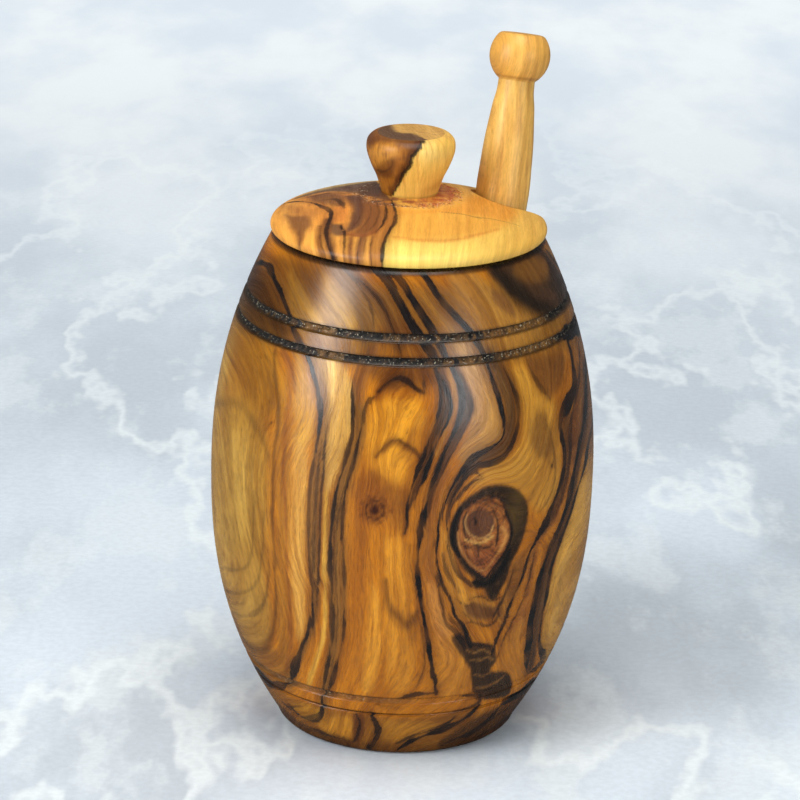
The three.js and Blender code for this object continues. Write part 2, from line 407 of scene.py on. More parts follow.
class Streak:
    """A line of the wood's figure. Its points are places in the picture with half widths in its points."""

    def __init__(self, points, soft=0.35):
        points = np.asarray(points, float)
        self.points = points[:, :2]
        self.widths = points[:, 2] * POINT
        self.soft = soft

    def measure(self, at, onto, beyond):
        """The places near the line, with their distances from it and its half widths there."""
        line = spline(onto(self.points), LINE_STEPS)
        widths = np.interp(np.arange(len(line)) / LINE_STEPS, np.arange(len(self.widths)), self.widths)
        if onto is on_pot:
            widths = widths * foreshortening(line)
        reach = LINE_REACH * widths.max() + beyond
        near = np.flatnonzero(np.all((at > line.min(0) - reach) & (at < line.max(0) + reach), axis=1))
        distance, _, place = nearest_on(line, at[near])
        return near, distance, np.interp(place, np.arange(len(line)), widths)

    def cover(self, at, onto):
        """How much of the line covers each place, from 0 to 1."""
        result = np.zeros(len(at))
        near, distance, width = self.measure(at, onto, 0.5)
        share = distance / width
        result[near] = (1 - self.soft) / (1 + share**LINE_EDGE_POWER) + self.soft * hump(share, 1)
        return result


# Dark lines: how much their width and strength vary, how thin a faint one's ends are, and the halo round them
INK_SWELL = 0.45
INK_FADE = 0.2
FAINT_END_SHARE = 0.35
HALO_SHARE = 1.9
HALO_EXTRA = 0.6


def draw_ink(at, onto, lines):
    """How deep in a dark line each place lies, in millimetres, that line's strength, and a soft halo."""
    depth = np.full(len(at), -1.0)
    force = np.zeros(len(at))
    halo = np.zeros(len(at))
    swell = 1 + INK_SWELL * ripple(at, 13.0, 7, 1)
    fade = 0.94 + INK_FADE * ripple(at, 11.0, 8, 2)
    for strength, points in lines:
        line = Streak(points)
        if strength < 1:
            line.widths[[0, -1]] *= FAINT_END_SHARE
        near, distance, width = line.measure(at, onto, 2.0)
        inside = np.maximum(width * swell[near] - distance, -1)
        deeper = inside > depth[near]
        depth[near[deeper]] = inside[deeper]
        force[near[deeper]] = (strength * np.minimum(fade[near], 1))[deeper]
        halo[near] = np.maximum(halo[near], strength * hump(distance, HALO_SHARE * width + HALO_EXTRA))
    return depth, force, halo


def nearest_on(line, at):
    """Each place's distance from a line, the side it lies on, and the nearest point's number along it."""
    best = np.full(len(at), np.inf)
    side = np.zeros(len(at))
    place = np.zeros(len(at))
    for number, (a, b) in enumerate(zip(line, line[1:])):
        length = math.hypot(*(b - a))
        if length < 1e-9:
            continue
        run = (b - a) / length
        offset = at - a
        t = np.clip(offset @ run, 0, length)
        gap = np.hypot(offset[:, 0] - run[0] * t, offset[:, 1] - run[1] * t)
        closer = gap < best
        best[closer] = gap[closer]
        side[closer] = (run[0] * offset[:, 1] - run[1] * offset[:, 0])[closer]
        place[closer] = number + t[closer] / length
    return best, side, place


# Steps between two points of an outline, and the blur's reach and steepness as shares of its size
AREA_STEPS = 3
BLUR_REACH = 3
BLUR_SHARE = 0.5


def area(at, onto, outline, blur):
    """How much a closed outline of picture points covers each place, with its edge blurred by some points."""
    line = spline(onto([*outline, outline[0]]), AREA_STEPS)
    reach = BLUR_REACH * blur * POINT
    near = np.flatnonzero(np.all((at > line.min(0) - reach) & (at < line.max(0) + reach), axis=1))
    result = np.zeros(len(at))
    if not len(near):
        return result
    places = at[near]
    distance, _, _ = nearest_on(line, places)
    inside = np.zeros(len(places), bool)
    for a, b in zip(line, np.roll(line, -1, axis=0)):
        if a[1] == b[1]:
            continue
        crosses = (a[1] > places[:, 1]) != (b[1] > places[:, 1])
        inside ^= crosses & (places[:, 0] < (b[0] - a[0]) * (places[:, 1] - a[1]) / (b[1] - a[1]) + a[0])
    result[near] = rise_past(np.where(inside, distance, -distance) / (BLUR_SHARE * blur * POINT))
    return result


def patch(at, onto, center, size, tilt=0.0, power=2.0):
    """A soft oval patch about a picture point. Its size is in millimetres, and it turns by tilt degrees."""
    middle = onto([center])[0]
    turn = math.radians(tilt)
    offset = at - middle
    across = (offset[:, 0] * math.cos(turn) + offset[:, 1] * math.sin(turn)) / size[0]
    up = (-offset[:, 0] * math.sin(turn) + offset[:, 1] * math.cos(turn)) / size[1]
    return np.exp(-((across**2 + up**2) ** (power / 2)))


def lay_areas(color, at, onto, rows):
    """Colours with soft areas laid on them: tone, strength, blur and outline."""
    for tone, strength, blur, outline in rows:
        color = tint(color, tone, strength * area(at, onto, outline, blur))
    return color


def lay_lines(color, at, onto, rows):
    """Colours with bands laid on them: tone, strength, softness and points."""
    for tone, strength, soft, points in rows:
        color = tint(color, tone, strength * Streak(points, soft).cover(at, onto))
    return color


# Waves in an octave, how much narrower and weaker each next octave is, and what brings the sum near 1
RIPPLE_WAVES = 5
RIPPLE_NARROWING = 1.9
RIPPLE_WEAKENING = 1.7
RIPPLE_SUM = 2.2


def ripple(at, scale, seed, octaves=3):
    """Smooth unevenness, about -1 to 1, from waves of random direction."""
    random = np.random.default_rng(seed)
    total = np.zeros(len(at))
    for octave in range(octaves):
        for _ in range(RIPPLE_WAVES):
            turn = random.uniform(0, 2 * math.pi)
            pace = 2 * math.pi / (scale / RIPPLE_NARROWING**octave) * random.uniform(0.7, 1.3)
            phase = random.uniform(0, 2 * math.pi)
            along = at[:, 0] * math.cos(turn) + at[:, 1] * math.sin(turn)
            total += np.sin(along * pace + phase) / RIPPLE_WEAKENING**octave
    return total / (RIPPLE_SUM * math.sqrt(octaves))


def shaken(at, amount, first, second, by=None):
    """Places moved a little, unevenly. A scale and a seed are given for each of the two directions."""
    source = at if by is None else by
    return at + amount * np.stack([ripple(source, *first), ripple(source, *second)], axis=1)


# How rounded the growth field is near a line, how loosely it keeps to it, and the places done at a time
GROWTH_ROUNDING = 4.0
GROWTH_SLACK = 60
GROWTH_BATCH = 8000


def growth(at, lines, onto, bumps):
    """The wood's growth field: nearly even along a line, smooth between them, and closed round the bumps."""
    marks = []
    values = []
    for points in lines:
        line = onto([point[:2] for point in points])
        value = line[len(line) // 2, 0]
        marks.extend(line[::2])
        values.extend([value] * len(line[::2]))
    marks = np.array(marks)
    values = np.array(values)

    def kernel(a, b):
        square = ((a[:, None, :] - b[None, :, :]) ** 2).sum(-1) + GROWTH_ROUNDING
        return square * np.log(square)

    count = len(marks)
    system = np.zeros((count + 3, count + 3))
    system[:count, :count] = kernel(marks, marks) + GROWTH_SLACK * np.eye(count)
    system[:count, count] = 1
    system[:count, count + 1:] = marks
    system[count, :count] = 1
    system[count + 1:, :count] = marks.T
    weights = np.linalg.solve(system, np.concatenate([values, np.zeros(3)]))
    field = np.zeros(len(at))
    for start in range(0, len(at), GROWTH_BATCH):
        part = at[start:start + GROWTH_BATCH]
        plane = weights[count] + part @ weights[count + 1:]
        field[start:start + GROWTH_BATCH] = kernel(part, marks) @ weights[:count] + plane
    for center, size, height in bumps:
        field += height * patch(at, onto, center, size)
    return field


def lay_turned(profile, turns):
    """Mesh data of a form turned about the Z axis. Its profile of (radius, height) may end on the axis."""
    turns = np.asarray(turns, float)
    count = len(turns)
    places = []
    rings = []
    for radius, height in profile:
        if radius < 1e-6:
            rings.append([len(places)] * count)
            places.append((0.0, 0.0, height))
            continue
        rings.append(list(range(len(places), len(places) + count)))
        places.extend(zip(radius * np.sin(turns), -radius * np.cos(turns), [height] * count))
    faces = []
    for lower, upper in zip(rings, rings[1:]):
        for i in range(count):
            j = (i + 1) % count
            corners = [lower[i], lower[j], upper[j], upper[i]]
            face = [c for k, c in enumerate(corners) if c != corners[k - 1]]
            faces.append(face)
    return np.array(places, float), faces


def make_mesh(name, places, faces):
    """A smooth-shaded mesh from places in millimetres."""
    mesh = bpy.data.meshes.new(name)
    mesh.from_pydata((places * MM).tolist(), [], faces)
    mesh.validate()
    mesh.shade_smooth()
    mesh.update()
    return mesh


def show(name, mesh, body, node, material):
    """Shows a mesh in place of its CAD node, moving with its body."""
    piece = bpy.data.objects.new(name, mesh)
    bpy.context.scene.collection.objects.link(piece)
    mesh.materials.append(material)
    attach(piece, body)
    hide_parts(node)


def places_of(mesh):
    flat = np.zeros(len(mesh.vertices) * 3)
    mesh.vertices.foreach_get("co", flat)
    return flat.reshape(-1, 3) / MM


def store(mesh, name, values):
    """Keeps one number, or one colour, for each mesh point."""
    values = np.asarray(values, np.float32)
    if values.ndim == 1:
        layer = mesh.attributes.new(name, "FLOAT", "POINT")
        layer.data.foreach_set("value", values)
        return
    layer = mesh.attributes.new(name, "FLOAT_COLOR", "POINT")
    opaque = np.concatenate([values, np.ones((len(values), 1), np.float32)], axis=1)
    layer.data.foreach_set("color", opaque.ravel())


def keep(mesh, **layers):
    for name, values in layers.items():
        store(mesh, name, values)


# The pot's skin

def pot_profile():
    """The pot's outline from the middle of its foot, up the outside, over the rim and down the inside."""
    foot = bow((FOOT_RADIUS, FOOT_ROUNDING), (barrel(FOOT_ROUNDING) - FOOT_RADIUS, FOOT_ROUNDING),
               -90, 0, FOOT_STEPS)
    heights = np.arange(FOOT_ROUNDING, POT_HEIGHT - RIM_ROUNDING, FINE_RISE)
    for middle, width, _, _ in TURNED_LINES:
        heights = heights[np.abs(heights - middle) > width / 2 + LINE_CLEARANCE]
    for middle, width, _, _ in TURNED_LINES:
        turn = np.linspace(-math.pi / 2, math.pi / 2, LINE_POINTS)
        heights = np.concatenate([heights, middle + width / 2 * np.sin(turn)])
        heights = np.concatenate([heights, middle + np.array([-1, 1]) * (width / 2 + LINE_LIP)])
    heights = np.sort(heights)[1:]
    wall = np.stack([barrel(heights) - groove_depth(heights)[0], heights], axis=1)
    lip_height = POT_HEIGHT - RIM_ROUNDING
    outer_lip = bow((RIM_RADIUS - RIM_ROUNDING, lip_height), (RIM_ROUNDING, RIM_ROUNDING), 30, 90,
                    RIM_STEPS)
    inner_lip = bow((MOUTH_RADIUS + RIM_ROUNDING, lip_height), (RIM_ROUNDING, RIM_ROUNDING), 90, 150,
                    RIM_STEPS)
    bottom = FLOOR + FLOOR_FILLET
    inside = np.linspace(lip_height, bottom, INNER_POINTS)[:-1]
    inner = np.stack([np.maximum(MOUTH_RADIUS, barrel(inside) - WALL), inside], axis=1)
    fillet = bow((barrel(bottom) - WALL - FLOOR_FILLET, bottom), (FLOOR_FILLET, FLOOR_FILLET), 0, -90,
                 FILLET_STEPS)
    return np.vstack([
        [(0, 0), (FOOT_RADIUS / 2, 0)], foot, wall, outer_lip, inner_lip, inner, fillet,
        [(FLOOR_FILLET, FLOOR), (0, FLOOR)],
    ])


def pot_turns():
    """Directions round the pot, from the front: fine where the figure is drawn, and coarser behind."""
    side = [0.0]
    while side[-1] < 90:
        side.append(side[-1] + FINE_TURN * (1 + SIDE_COARSENING * (side[-1] / 90) ** 3))
    coarse = np.linspace(side[-1], 360 - side[-1], COARSE_TURNS)[1:-1]
    return np.radians(np.concatenate([-np.array(side[:0:-1]), side, coarse]))


# Soft areas of the pot's figure: tone, strength, blur and outline in picture points
POT_FIELDS = (
    # The shoulder, browner than the belly, partly its wood and partly painted shade under the lid
    ((134, 90, 38), 0.95, 7, ((238, 240), (262, 262), (300, 276), (350, 284), (409, 286), (470, 282),
        (530, 270), (560, 240), (590, 336), (560, 352), (500, 366), (409, 372), (330, 362), (270, 344),
        (225, 318))),
    ((66, 38, 12), 0.93, 9, ((222, 318), (238, 280), (250, 252), (266, 268), (280, 290), (292, 330),
        (270, 344), (246, 334))),
    ((98, 58, 20), 0.85, 6, ((262, 252), (300, 262), (322, 268), (320, 286), (310, 298), (300, 296),
        (288, 276), (272, 262))),
    ((184, 136, 56), 0.8, 6, ((290, 276), (300, 290), (312, 304), (322, 306), (330, 318), (318, 330),
        (300, 324), (290, 304))),
    # A painted sheen on the left of the shoulder
    ((186, 140, 64), 0.7, 5, ((322, 272), (334, 276), (350, 296), (358, 312), (356, 330), (340, 332),
        (330, 312))),
    ((104, 58, 22), 0.85, 5, ((374, 330), (392, 320), (410, 326), (428, 352), (440, 372), (436, 384),
        (420, 386), (404, 384), (388, 384), (374, 380), (368, 366), (370, 346))),
    ((150, 92, 26), 0.7, 3, ((376, 345), (396, 347), (415, 346), (421, 356), (404, 358), (377, 357))),
    ((170, 118, 56), 0.8, 5, ((446, 268), (474, 272), (500, 300), (540, 324), (520, 346), (478, 352),
        (462, 318))),
    ((176, 128, 72), 0.7, 5, ((452, 330), (478, 338), (482, 350), (462, 356), (452, 346))),
    ((48, 34, 30), 0.95, 3, ((482, 254), (500, 256), (520, 252), (540, 246), (556, 266), (568, 282),
        (576, 298), (564, 308), (547, 313), (530, 307), (512, 296), (498, 283), (486, 270))),
    ((122, 80, 38), 0.9, 4, ((508, 256), (530, 254), (546, 260), (548, 276), (532, 284), (514, 274))),
    ((80, 54, 42), 0.6, 3, ((526, 284), (546, 286), (558, 296), (550, 303), (534, 300))),
    ((118, 76, 44), 0.8, 2, ((491, 291), (500, 292), (512, 304), (515, 316), (505, 312), (494, 303))),
    # The left side: olive and tan, with a brown lower end
    ((150, 102, 34), 0.85, 8, ((224, 318), (272, 346), (278, 400), (262, 420), (228, 392), (214, 420))),
    ((170, 126, 54), 0.9, 10, ((205, 400), (228, 392), (256, 410), (268, 450), (268, 520), (266, 590),
        (250, 606), (226, 600), (205, 520))),
    ((188, 146, 74), 0.8, 10, ((216, 440), (238, 432), (250, 460), (250, 520), (238, 556), (220, 540))),
    ((140, 96, 36), 0.85, 7, ((226, 590), (264, 596), (270, 630), (258, 646), (240, 636))),
    ((164, 108, 34), 0.8, 4, ((276, 380), (290, 380), (292, 500), (290, 640), (280, 650), (278, 520))),
    ((216, 160, 82), 0.9, 3.5, ((294, 430), (306, 440), (308, 500), (306, 560), (306, 620), (298, 640),
        (293, 600), (292, 500))),
    ((214, 158, 68), 0.85, 4, ((296, 352), (306, 366), (314, 400), (312, 440), (298, 440), (294, 390))),
    ((150, 98, 34), 0.8, 4, ((250, 652), (272, 648), (296, 664), (286, 684), (262, 676))),
    # The pale runs on both sides of the second streak
    ((224, 176, 104), 0.9, 3, ((322, 356), (336, 360), (348, 374), (354, 396), (353, 420), (350, 436),
        (343, 456), (335, 478), (327, 494), (322, 480), (324, 440), (328, 412), (322, 384))),
    ((178, 132, 66), 0.8, 3, ((312, 352), (326, 356), (331, 384), (334, 410), (326, 424), (321, 392))),
    ((226, 172, 76), 0.9, 1.3, ((323, 494), (328, 494), (327, 560), (328, 610), (325, 640), (318, 662),
        (311, 684), (307, 684), (314, 660), (321, 636), (323, 600), (323, 540))),
    # The amber middle
    ((220, 150, 44), 0.85, 5, ((374, 404), (390, 398), (408, 398), (422, 406), (424, 430), (412, 466),
        (402, 486), (384, 488), (372, 470), (366, 440))),
    ((158, 92, 24), 0.65, 3, ((374, 400), (380, 389), (392, 381), (406, 381), (420, 391), (408, 397),
        (392, 397))),
    ((136, 76, 24), 0.75, 4, ((358, 478), (372, 470), (388, 478), (404, 488), (410, 506), (398, 520),
        (384, 508), (372, 524), (360, 514), (354, 494))),
    ((150, 88, 28), 0.6, 4, ((408, 430), (424, 424), (432, 404), (428, 440), (414, 468), (404, 462))),
    ((156, 96, 26), 0.7, 4, ((388, 490), (404, 492), (408, 512), (404, 532), (392, 524))),
    ((164, 98, 30), 0.55, 3, ((358, 480), (366, 520), (366, 600), (366, 680), (357, 680), (360, 600),
        (354, 520))),
    ((222, 152, 50), 0.8, 3, ((371, 584), (378, 600), (380, 650), (372, 690), (362, 690), (369, 650))),
    ((218, 146, 42), 0.7, 4, ((384, 540), (404, 540), (410, 600), (412, 680), (390, 690), (384, 620))),
    ((150, 92, 28), 0.6, 3, ((405, 612), (415, 616), (417, 640), (409, 640))),
    # Between the twin streaks and the third one: tan above, rust below
    ((180, 130, 76), 0.9, 3, ((458, 362), (482, 362), (496, 392), (503, 420), (502, 438), (484, 452),
        (468, 464), (458, 456), (468, 430), (472, 400), (464, 376))),
    ((200, 146, 84), 0.8, 3.5, ((491, 396), (499, 412), (501, 434), (489, 444), (480, 440), (486, 418))),
    ((150, 90, 42), 0.8, 3, ((440, 470), (452, 470), (440, 500), (433, 540), (434, 580), (424, 576),
        (424, 530), (430, 498))),
    ((206, 138, 74), 0.8, 2.6, ((430, 582), (438, 588), (442, 606), (450, 628), (456, 650), (450, 670),
        (438, 640), (430, 610))),
    ((196, 126, 40), 0.8, 4, ((436, 640), (458, 640), (472, 690), (440, 696))),
    # A darker left end of the shoulder, and a lighter patch low on the left
    ((104, 64, 22), 0.5, 7, ((266, 262), (300, 250), (326, 262), (318, 300), (298, 322), (270, 300))),
    ((196, 150, 76), 0.55, 5, ((222, 560), (250, 556), (266, 590), (268, 640), (252, 652), (236, 620))),
    # The right side
    ((194, 138, 56), 0.85, 5, ((508, 368), (524, 366), (540, 390), (556, 404), (560, 470), (556, 500),
        (536, 510), (516, 490), (494, 484), (474, 486), (484, 466), (510, 456), (522, 430))),
    ((110, 68, 34), 0.9, 4.5, ((524, 356), (544, 354), (560, 350), (566, 362), (563, 382), (551, 398),
        (541, 390), (529, 374))),
    ((118, 76, 34), 0.75, 3.6, ((536, 410), (546, 416), (552, 440), (548, 458), (534, 452), (530, 430))),
    ((150, 98, 44), 0.75, 4, ((514, 560), (526, 556), (516, 600), (502, 626), (496, 612), (506, 586))),
    ((152, 92, 42), 0.9, 3, ((540, 540), (556, 520), (572, 470), (576, 440), (568, 440), (566, 480),
        (552, 512), (530, 556), (522, 600), (508, 632), (516, 650), (528, 616), (532, 580))),
    ((120, 70, 34), 0.9, 3, ((576, 364), (584, 366), (585, 400), (580, 440), (574, 468), (569, 452),
        (573, 410))),
    ((132, 82, 42), 0.9, 3, ((590, 360), (600, 380), (600, 560), (584, 600), (570, 628), (582, 570),
        (588, 500), (592, 430))),
    ((210, 154, 74), 0.95, 2, ((588, 452), (580, 480), (569, 516), (558, 552), (550, 586), (544, 620),
        (541, 650), (548, 662), (566, 640), (582, 590), (590, 540), (594, 490), (594, 452))),
    ((150, 98, 56), 0.85, 3, ((589, 430), (600, 430), (601, 500), (596, 552), (582, 596), (576, 590),
        (583, 540), (586, 490))),
    ((190, 122, 40), 0.7, 4, ((502, 640), (528, 620), (526, 680), (500, 696), (496, 670))),
    ((216, 166, 98), 0.8, 3, ((572, 540), (568, 580), (556, 622), (546, 644), (552, 610), (558, 574))),
    ((50, 34, 24), 0.97, 1.4, ((461, 634), (469, 641), (480, 643), (493, 645), (496, 660), (491, 671),
        (508, 672), (512, 686), (505, 697), (477, 698), (472, 684), (469, 668), (460, 654), (454, 644),
        (452, 636))),
    # Under the knot, and the foot
    ((198, 134, 48), 0.9, 3, ((442, 530), (450, 540), (456, 572), (470, 590), (492, 602), (496, 616),
        (466, 620), (452, 600), (444, 570))),
    ((98, 58, 34), 0.9, 2, ((463, 606), (474, 602), (488, 606), (500, 608), (498, 616), (484, 620),
        (468, 616))),
    ((140, 88, 30), 0.9, 5, ((240, 676), (290, 696), (350, 712), (409, 718), (470, 712), (530, 690),
        (510, 724), (460, 752), (409, 758), (340, 748), (280, 716))),
    ((204, 138, 42), 0.85, 4, ((318, 724), (340, 716), (354, 722), (352, 738), (330, 738))),
    ((104, 58, 26), 0.85, 1.6, ((352, 714), (364, 715), (364, 734), (356, 742), (352, 730))),
    ((74, 46, 26), 0.9, 3, ((440, 740), (462, 726), (488, 712), (520, 696), (548, 668), (532, 704),
        (506, 726), (470, 746), (440, 750))),
    ((96, 60, 24), 0.85, 3, ((246, 668), (262, 690), (284, 708), (300, 722), (330, 734), (346, 738),
        (350, 748), (316, 746), (280, 726), (252, 692))),
    ((196, 136, 40), 0.8, 2.4, ((290, 703), (304, 703), (318, 708), (324, 716), (312, 721), (298, 714))),
    ((190, 128, 40), 0.75, 3.5, ((382, 720), (404, 722), (430, 722), (440, 728), (424, 738), (396, 742),
        (382, 738))),
)

# Tones at the outer sides: tone, where it starts round the skin, and between which heights, in millimetres
POT_SIDES = (
    ((206, 152, 76), 50.0, 18, 68),
    ((124, 82, 46), 53.0, 68, 98),
    ((132, 92, 46), -46.0, 8, 24),
    ((190, 146, 72), -58.0, 26, 96),
)

# Bands: tone, strength, softness, and points with half widths in picture points
POT_BANDS = (
    (BROWN, 0.6, 0.7, ((275, 352, 1.5), (275, 380, 2), (278, 406, 2.2), (277, 432, 2), (274, 456, 2),
        (273, 500, 1.8), (272, 520, 2), (273, 545, 2), (275, 570, 1.6), (276, 600, 1.6), (275, 620, 2.2),
        (271, 636, 3.2), (265, 647, 4), (258, 650, 3.6), (250, 647, 2.4), (244, 640, 1.4))),
    (RUST, 0.65, 0.8, ((282, 352, 2), (291, 368, 3.4), (293, 384, 4), (291, 400, 3.5), (287, 420, 3),
        (284, 450, 2.4), (284, 500, 1.6), (286, 540, 1.4), (288, 580, 1.4), (290, 620, 1.4),
        (290, 646, 1.8), (286, 668, 2.6))),
    # The first dark streak
    ((92, 68, 50), 0.85, 0.6, ((330, 260, 5), (342, 274, 6), (354, 289, 7), (362, 305, 7), (367, 322, 6),
        (368, 340, 5))),
    ((96, 62, 36), 0.8, 0.7, ((352, 274, 3), (366, 287, 5), (377, 299, 6), (386, 314, 7), (393, 330, 7),
        (398, 346, 6))),
    (GREY_BROWN, 0.9, 0.4, ((312, 358, 3), (317, 376, 4.5), (322, 392, 6), (324, 408, 7), (323, 424, 6.5),
        (321, 444, 6.5), (318, 464, 6), (316, 482, 6), (315, 498, 6), (314, 530, 6.4), (314, 560, 6),
        (315, 584, 5.4), (315, 604, 5), (313, 620, 4), (307, 640, 3.4), (300, 657, 3.4), (294, 672, 3.4),
        (288, 684, 4))),
    # The second streak
    (GREY_BROWN, 0.75, 0.7, ((332, 262, 5), (345, 276, 6), (357, 292, 6.5), (365, 308, 6.5), (369, 324, 6),
        (370, 340, 5))),
    (PLUM, 0.75, 0.7, ((372, 352, 6), (366, 366, 7), (360, 382, 7), (358, 400, 6), (359, 416, 5))),
    (GREY_BROWN, 0.92, 0.35, ((359, 412, 6), (359, 430, 6.5), (354, 452, 7.5), (346, 476, 8), (340, 496, 8),
        (337, 520, 8), (336, 545, 8), (336, 575, 7.5), (337, 600, 7), (337, 620, 6.5), (335, 640, 5.4),
        (332, 660, 5), (328, 680, 4.6), (325, 694, 4.4), (323, 708, 3.6))),
    # The twin streaks of the middle
    (BROWN, 0.97, 0.2, ((434, 360, 4), (440, 376, 5), (445, 392, 6), (446, 406, 6), (442, 420, 5),
        (436, 434, 4.4), (430, 450, 4), (424, 468, 3.6), (418, 484, 3), (412, 498, 2), (408, 510, 1.4))),
    (BROWN, 0.97, 0.25, ((450, 362, 4), (457, 376, 5), (464, 392, 6), (467, 406, 6), (463, 420, 5.4),
        (456, 434, 4.6), (449, 448, 4.2), (442, 464, 4), (436, 480, 3.6), (430, 498, 3.2),
        (426, 516, 2.6))),
    ((50, 36, 28), 0.8, 0.5, ((441, 376, 3), (446, 392, 4.4), (445, 406, 4.6), (442, 420, 3.8),
        (437, 434, 2.4))),
    ((54, 42, 36), 0.8, 0.5, ((459, 376, 3.6), (464, 392, 4.8), (466, 406, 4.8), (461, 422, 4.2),
        (454, 437, 2.8))),
    ((200, 142, 62), 0.8, 0.8, ((447, 366, 1.4), (450, 377, 2.2), (455, 393, 2.8), (454, 410, 2.6),
        (447, 427, 2.2), (442, 443, 1.8), (436, 456, 1.2))),
    # The third streak, a wide band that sweeps in over the knot
    (GREY_BROWN, 0.7, 0.7, ((460, 316, 5), (472, 332, 6), (480, 346, 6), (490, 360, 7))),
    ((84, 56, 32), 0.95, 0.3, ((490, 358, 7), (498, 372, 8), (505, 388, 8.5), (510, 404, 7.5),
        (511, 420, 6.5), (510, 434, 6), (505, 445, 6), (494, 453, 6), (482, 458, 5), (472, 466, 5),
        (463, 476, 5), (455, 488, 4.4), (448, 502, 3.4))),
    ((132, 94, 54), 0.6, 0.7, ((496, 372, 2), (504, 388, 2.4), (508, 404, 2), (509, 420, 1.6))),
    # The dark edge of the shoulder's right end
    ((36, 27, 24), 0.9, 0.7, ((484, 258, 4), (496, 272, 5), (510, 286, 6), (524, 298, 6), (538, 307, 5),
        (552, 312, 3))),
    # The arches in the amber middle, and the soft V low down
    ((112, 62, 22), 0.65, 0.9, ((374, 399, 2), (380, 391, 4), (388, 387, 5), (397, 387, 3))),
    ((60, 32, 16), 0.85, 0.9, ((378, 392, 1.6), (385, 385, 3), (392, 381, 4.6), (400, 379, 6),
        (408, 382, 4.8), (415, 387, 3.2), (424, 394, 1.8))),
    ((112, 62, 22), 0.75, 0.9, ((376, 457, 2), (384, 449, 3.4), (394, 442, 4.4), (404, 445, 4),
        (414, 452, 3.4), (424, 463, 2))),
    ((104, 60, 24), 0.7, 0.9, ((386, 580, 2), (389, 602, 3.4), (397, 616, 4.6), (406, 624, 6),
        (412, 620, 5), (417, 612, 3))),
    # The left side's faint lines
    ((112, 76, 30), 0.5, 0.9, ((216, 404, 2), (238, 404, 3), (252, 420, 3.4), (262, 438, 3),
        (268, 456, 2))),
    # The right side
    ((82, 52, 30), 0.92, 0.3, ((567, 410, 5), (566, 430, 5), (567, 448, 4.4), (566, 464, 4), (563, 480, 4),
        (558, 498, 4), (552, 514, 3.6), (544, 530, 3))),
    ((56, 38, 28), 0.95, 0.3, ((584, 366, 3), (586, 390, 4), (585, 420, 4), (581, 446, 3.6),
        (577, 470, 3.4), (572, 496, 3.6), (566, 516, 3.8), (559, 536, 4.4), (552, 552, 5), (547, 568, 6),
        (543, 584, 6.6), (540, 600, 6.4), (537, 616, 6), (535, 634, 5), (533, 652, 4.4), (530, 668, 4))),
    # The wavy lines in the dark patch above the foot
    ((150, 104, 56), 0.8, 0.5, ((466, 650, 0.7), (474, 653, 0.9), (483, 650, 0.9), (491, 653, 0.7))),
    ((150, 104, 56), 0.75, 0.5, ((470, 660, 0.6), (480, 660, 0.9), (488, 657, 0.8), (493, 660, 0.6))),
    ((138, 92, 50), 0.75, 0.5, ((476, 688, 0.8), (486, 687, 1.1), (496, 682, 1.1), (504, 676, 0.8))),
    ((138, 92, 50), 0.6, 0.5, ((474, 674, 0.7), (482, 676, 0.9), (490, 673, 0.8))),
    ((104, 72, 48), 0.75, 0.5, ((554, 556, 1), (547, 578, 1.6), (543, 600, 2), (539, 620, 2),
        (536, 640, 2.2))),
)

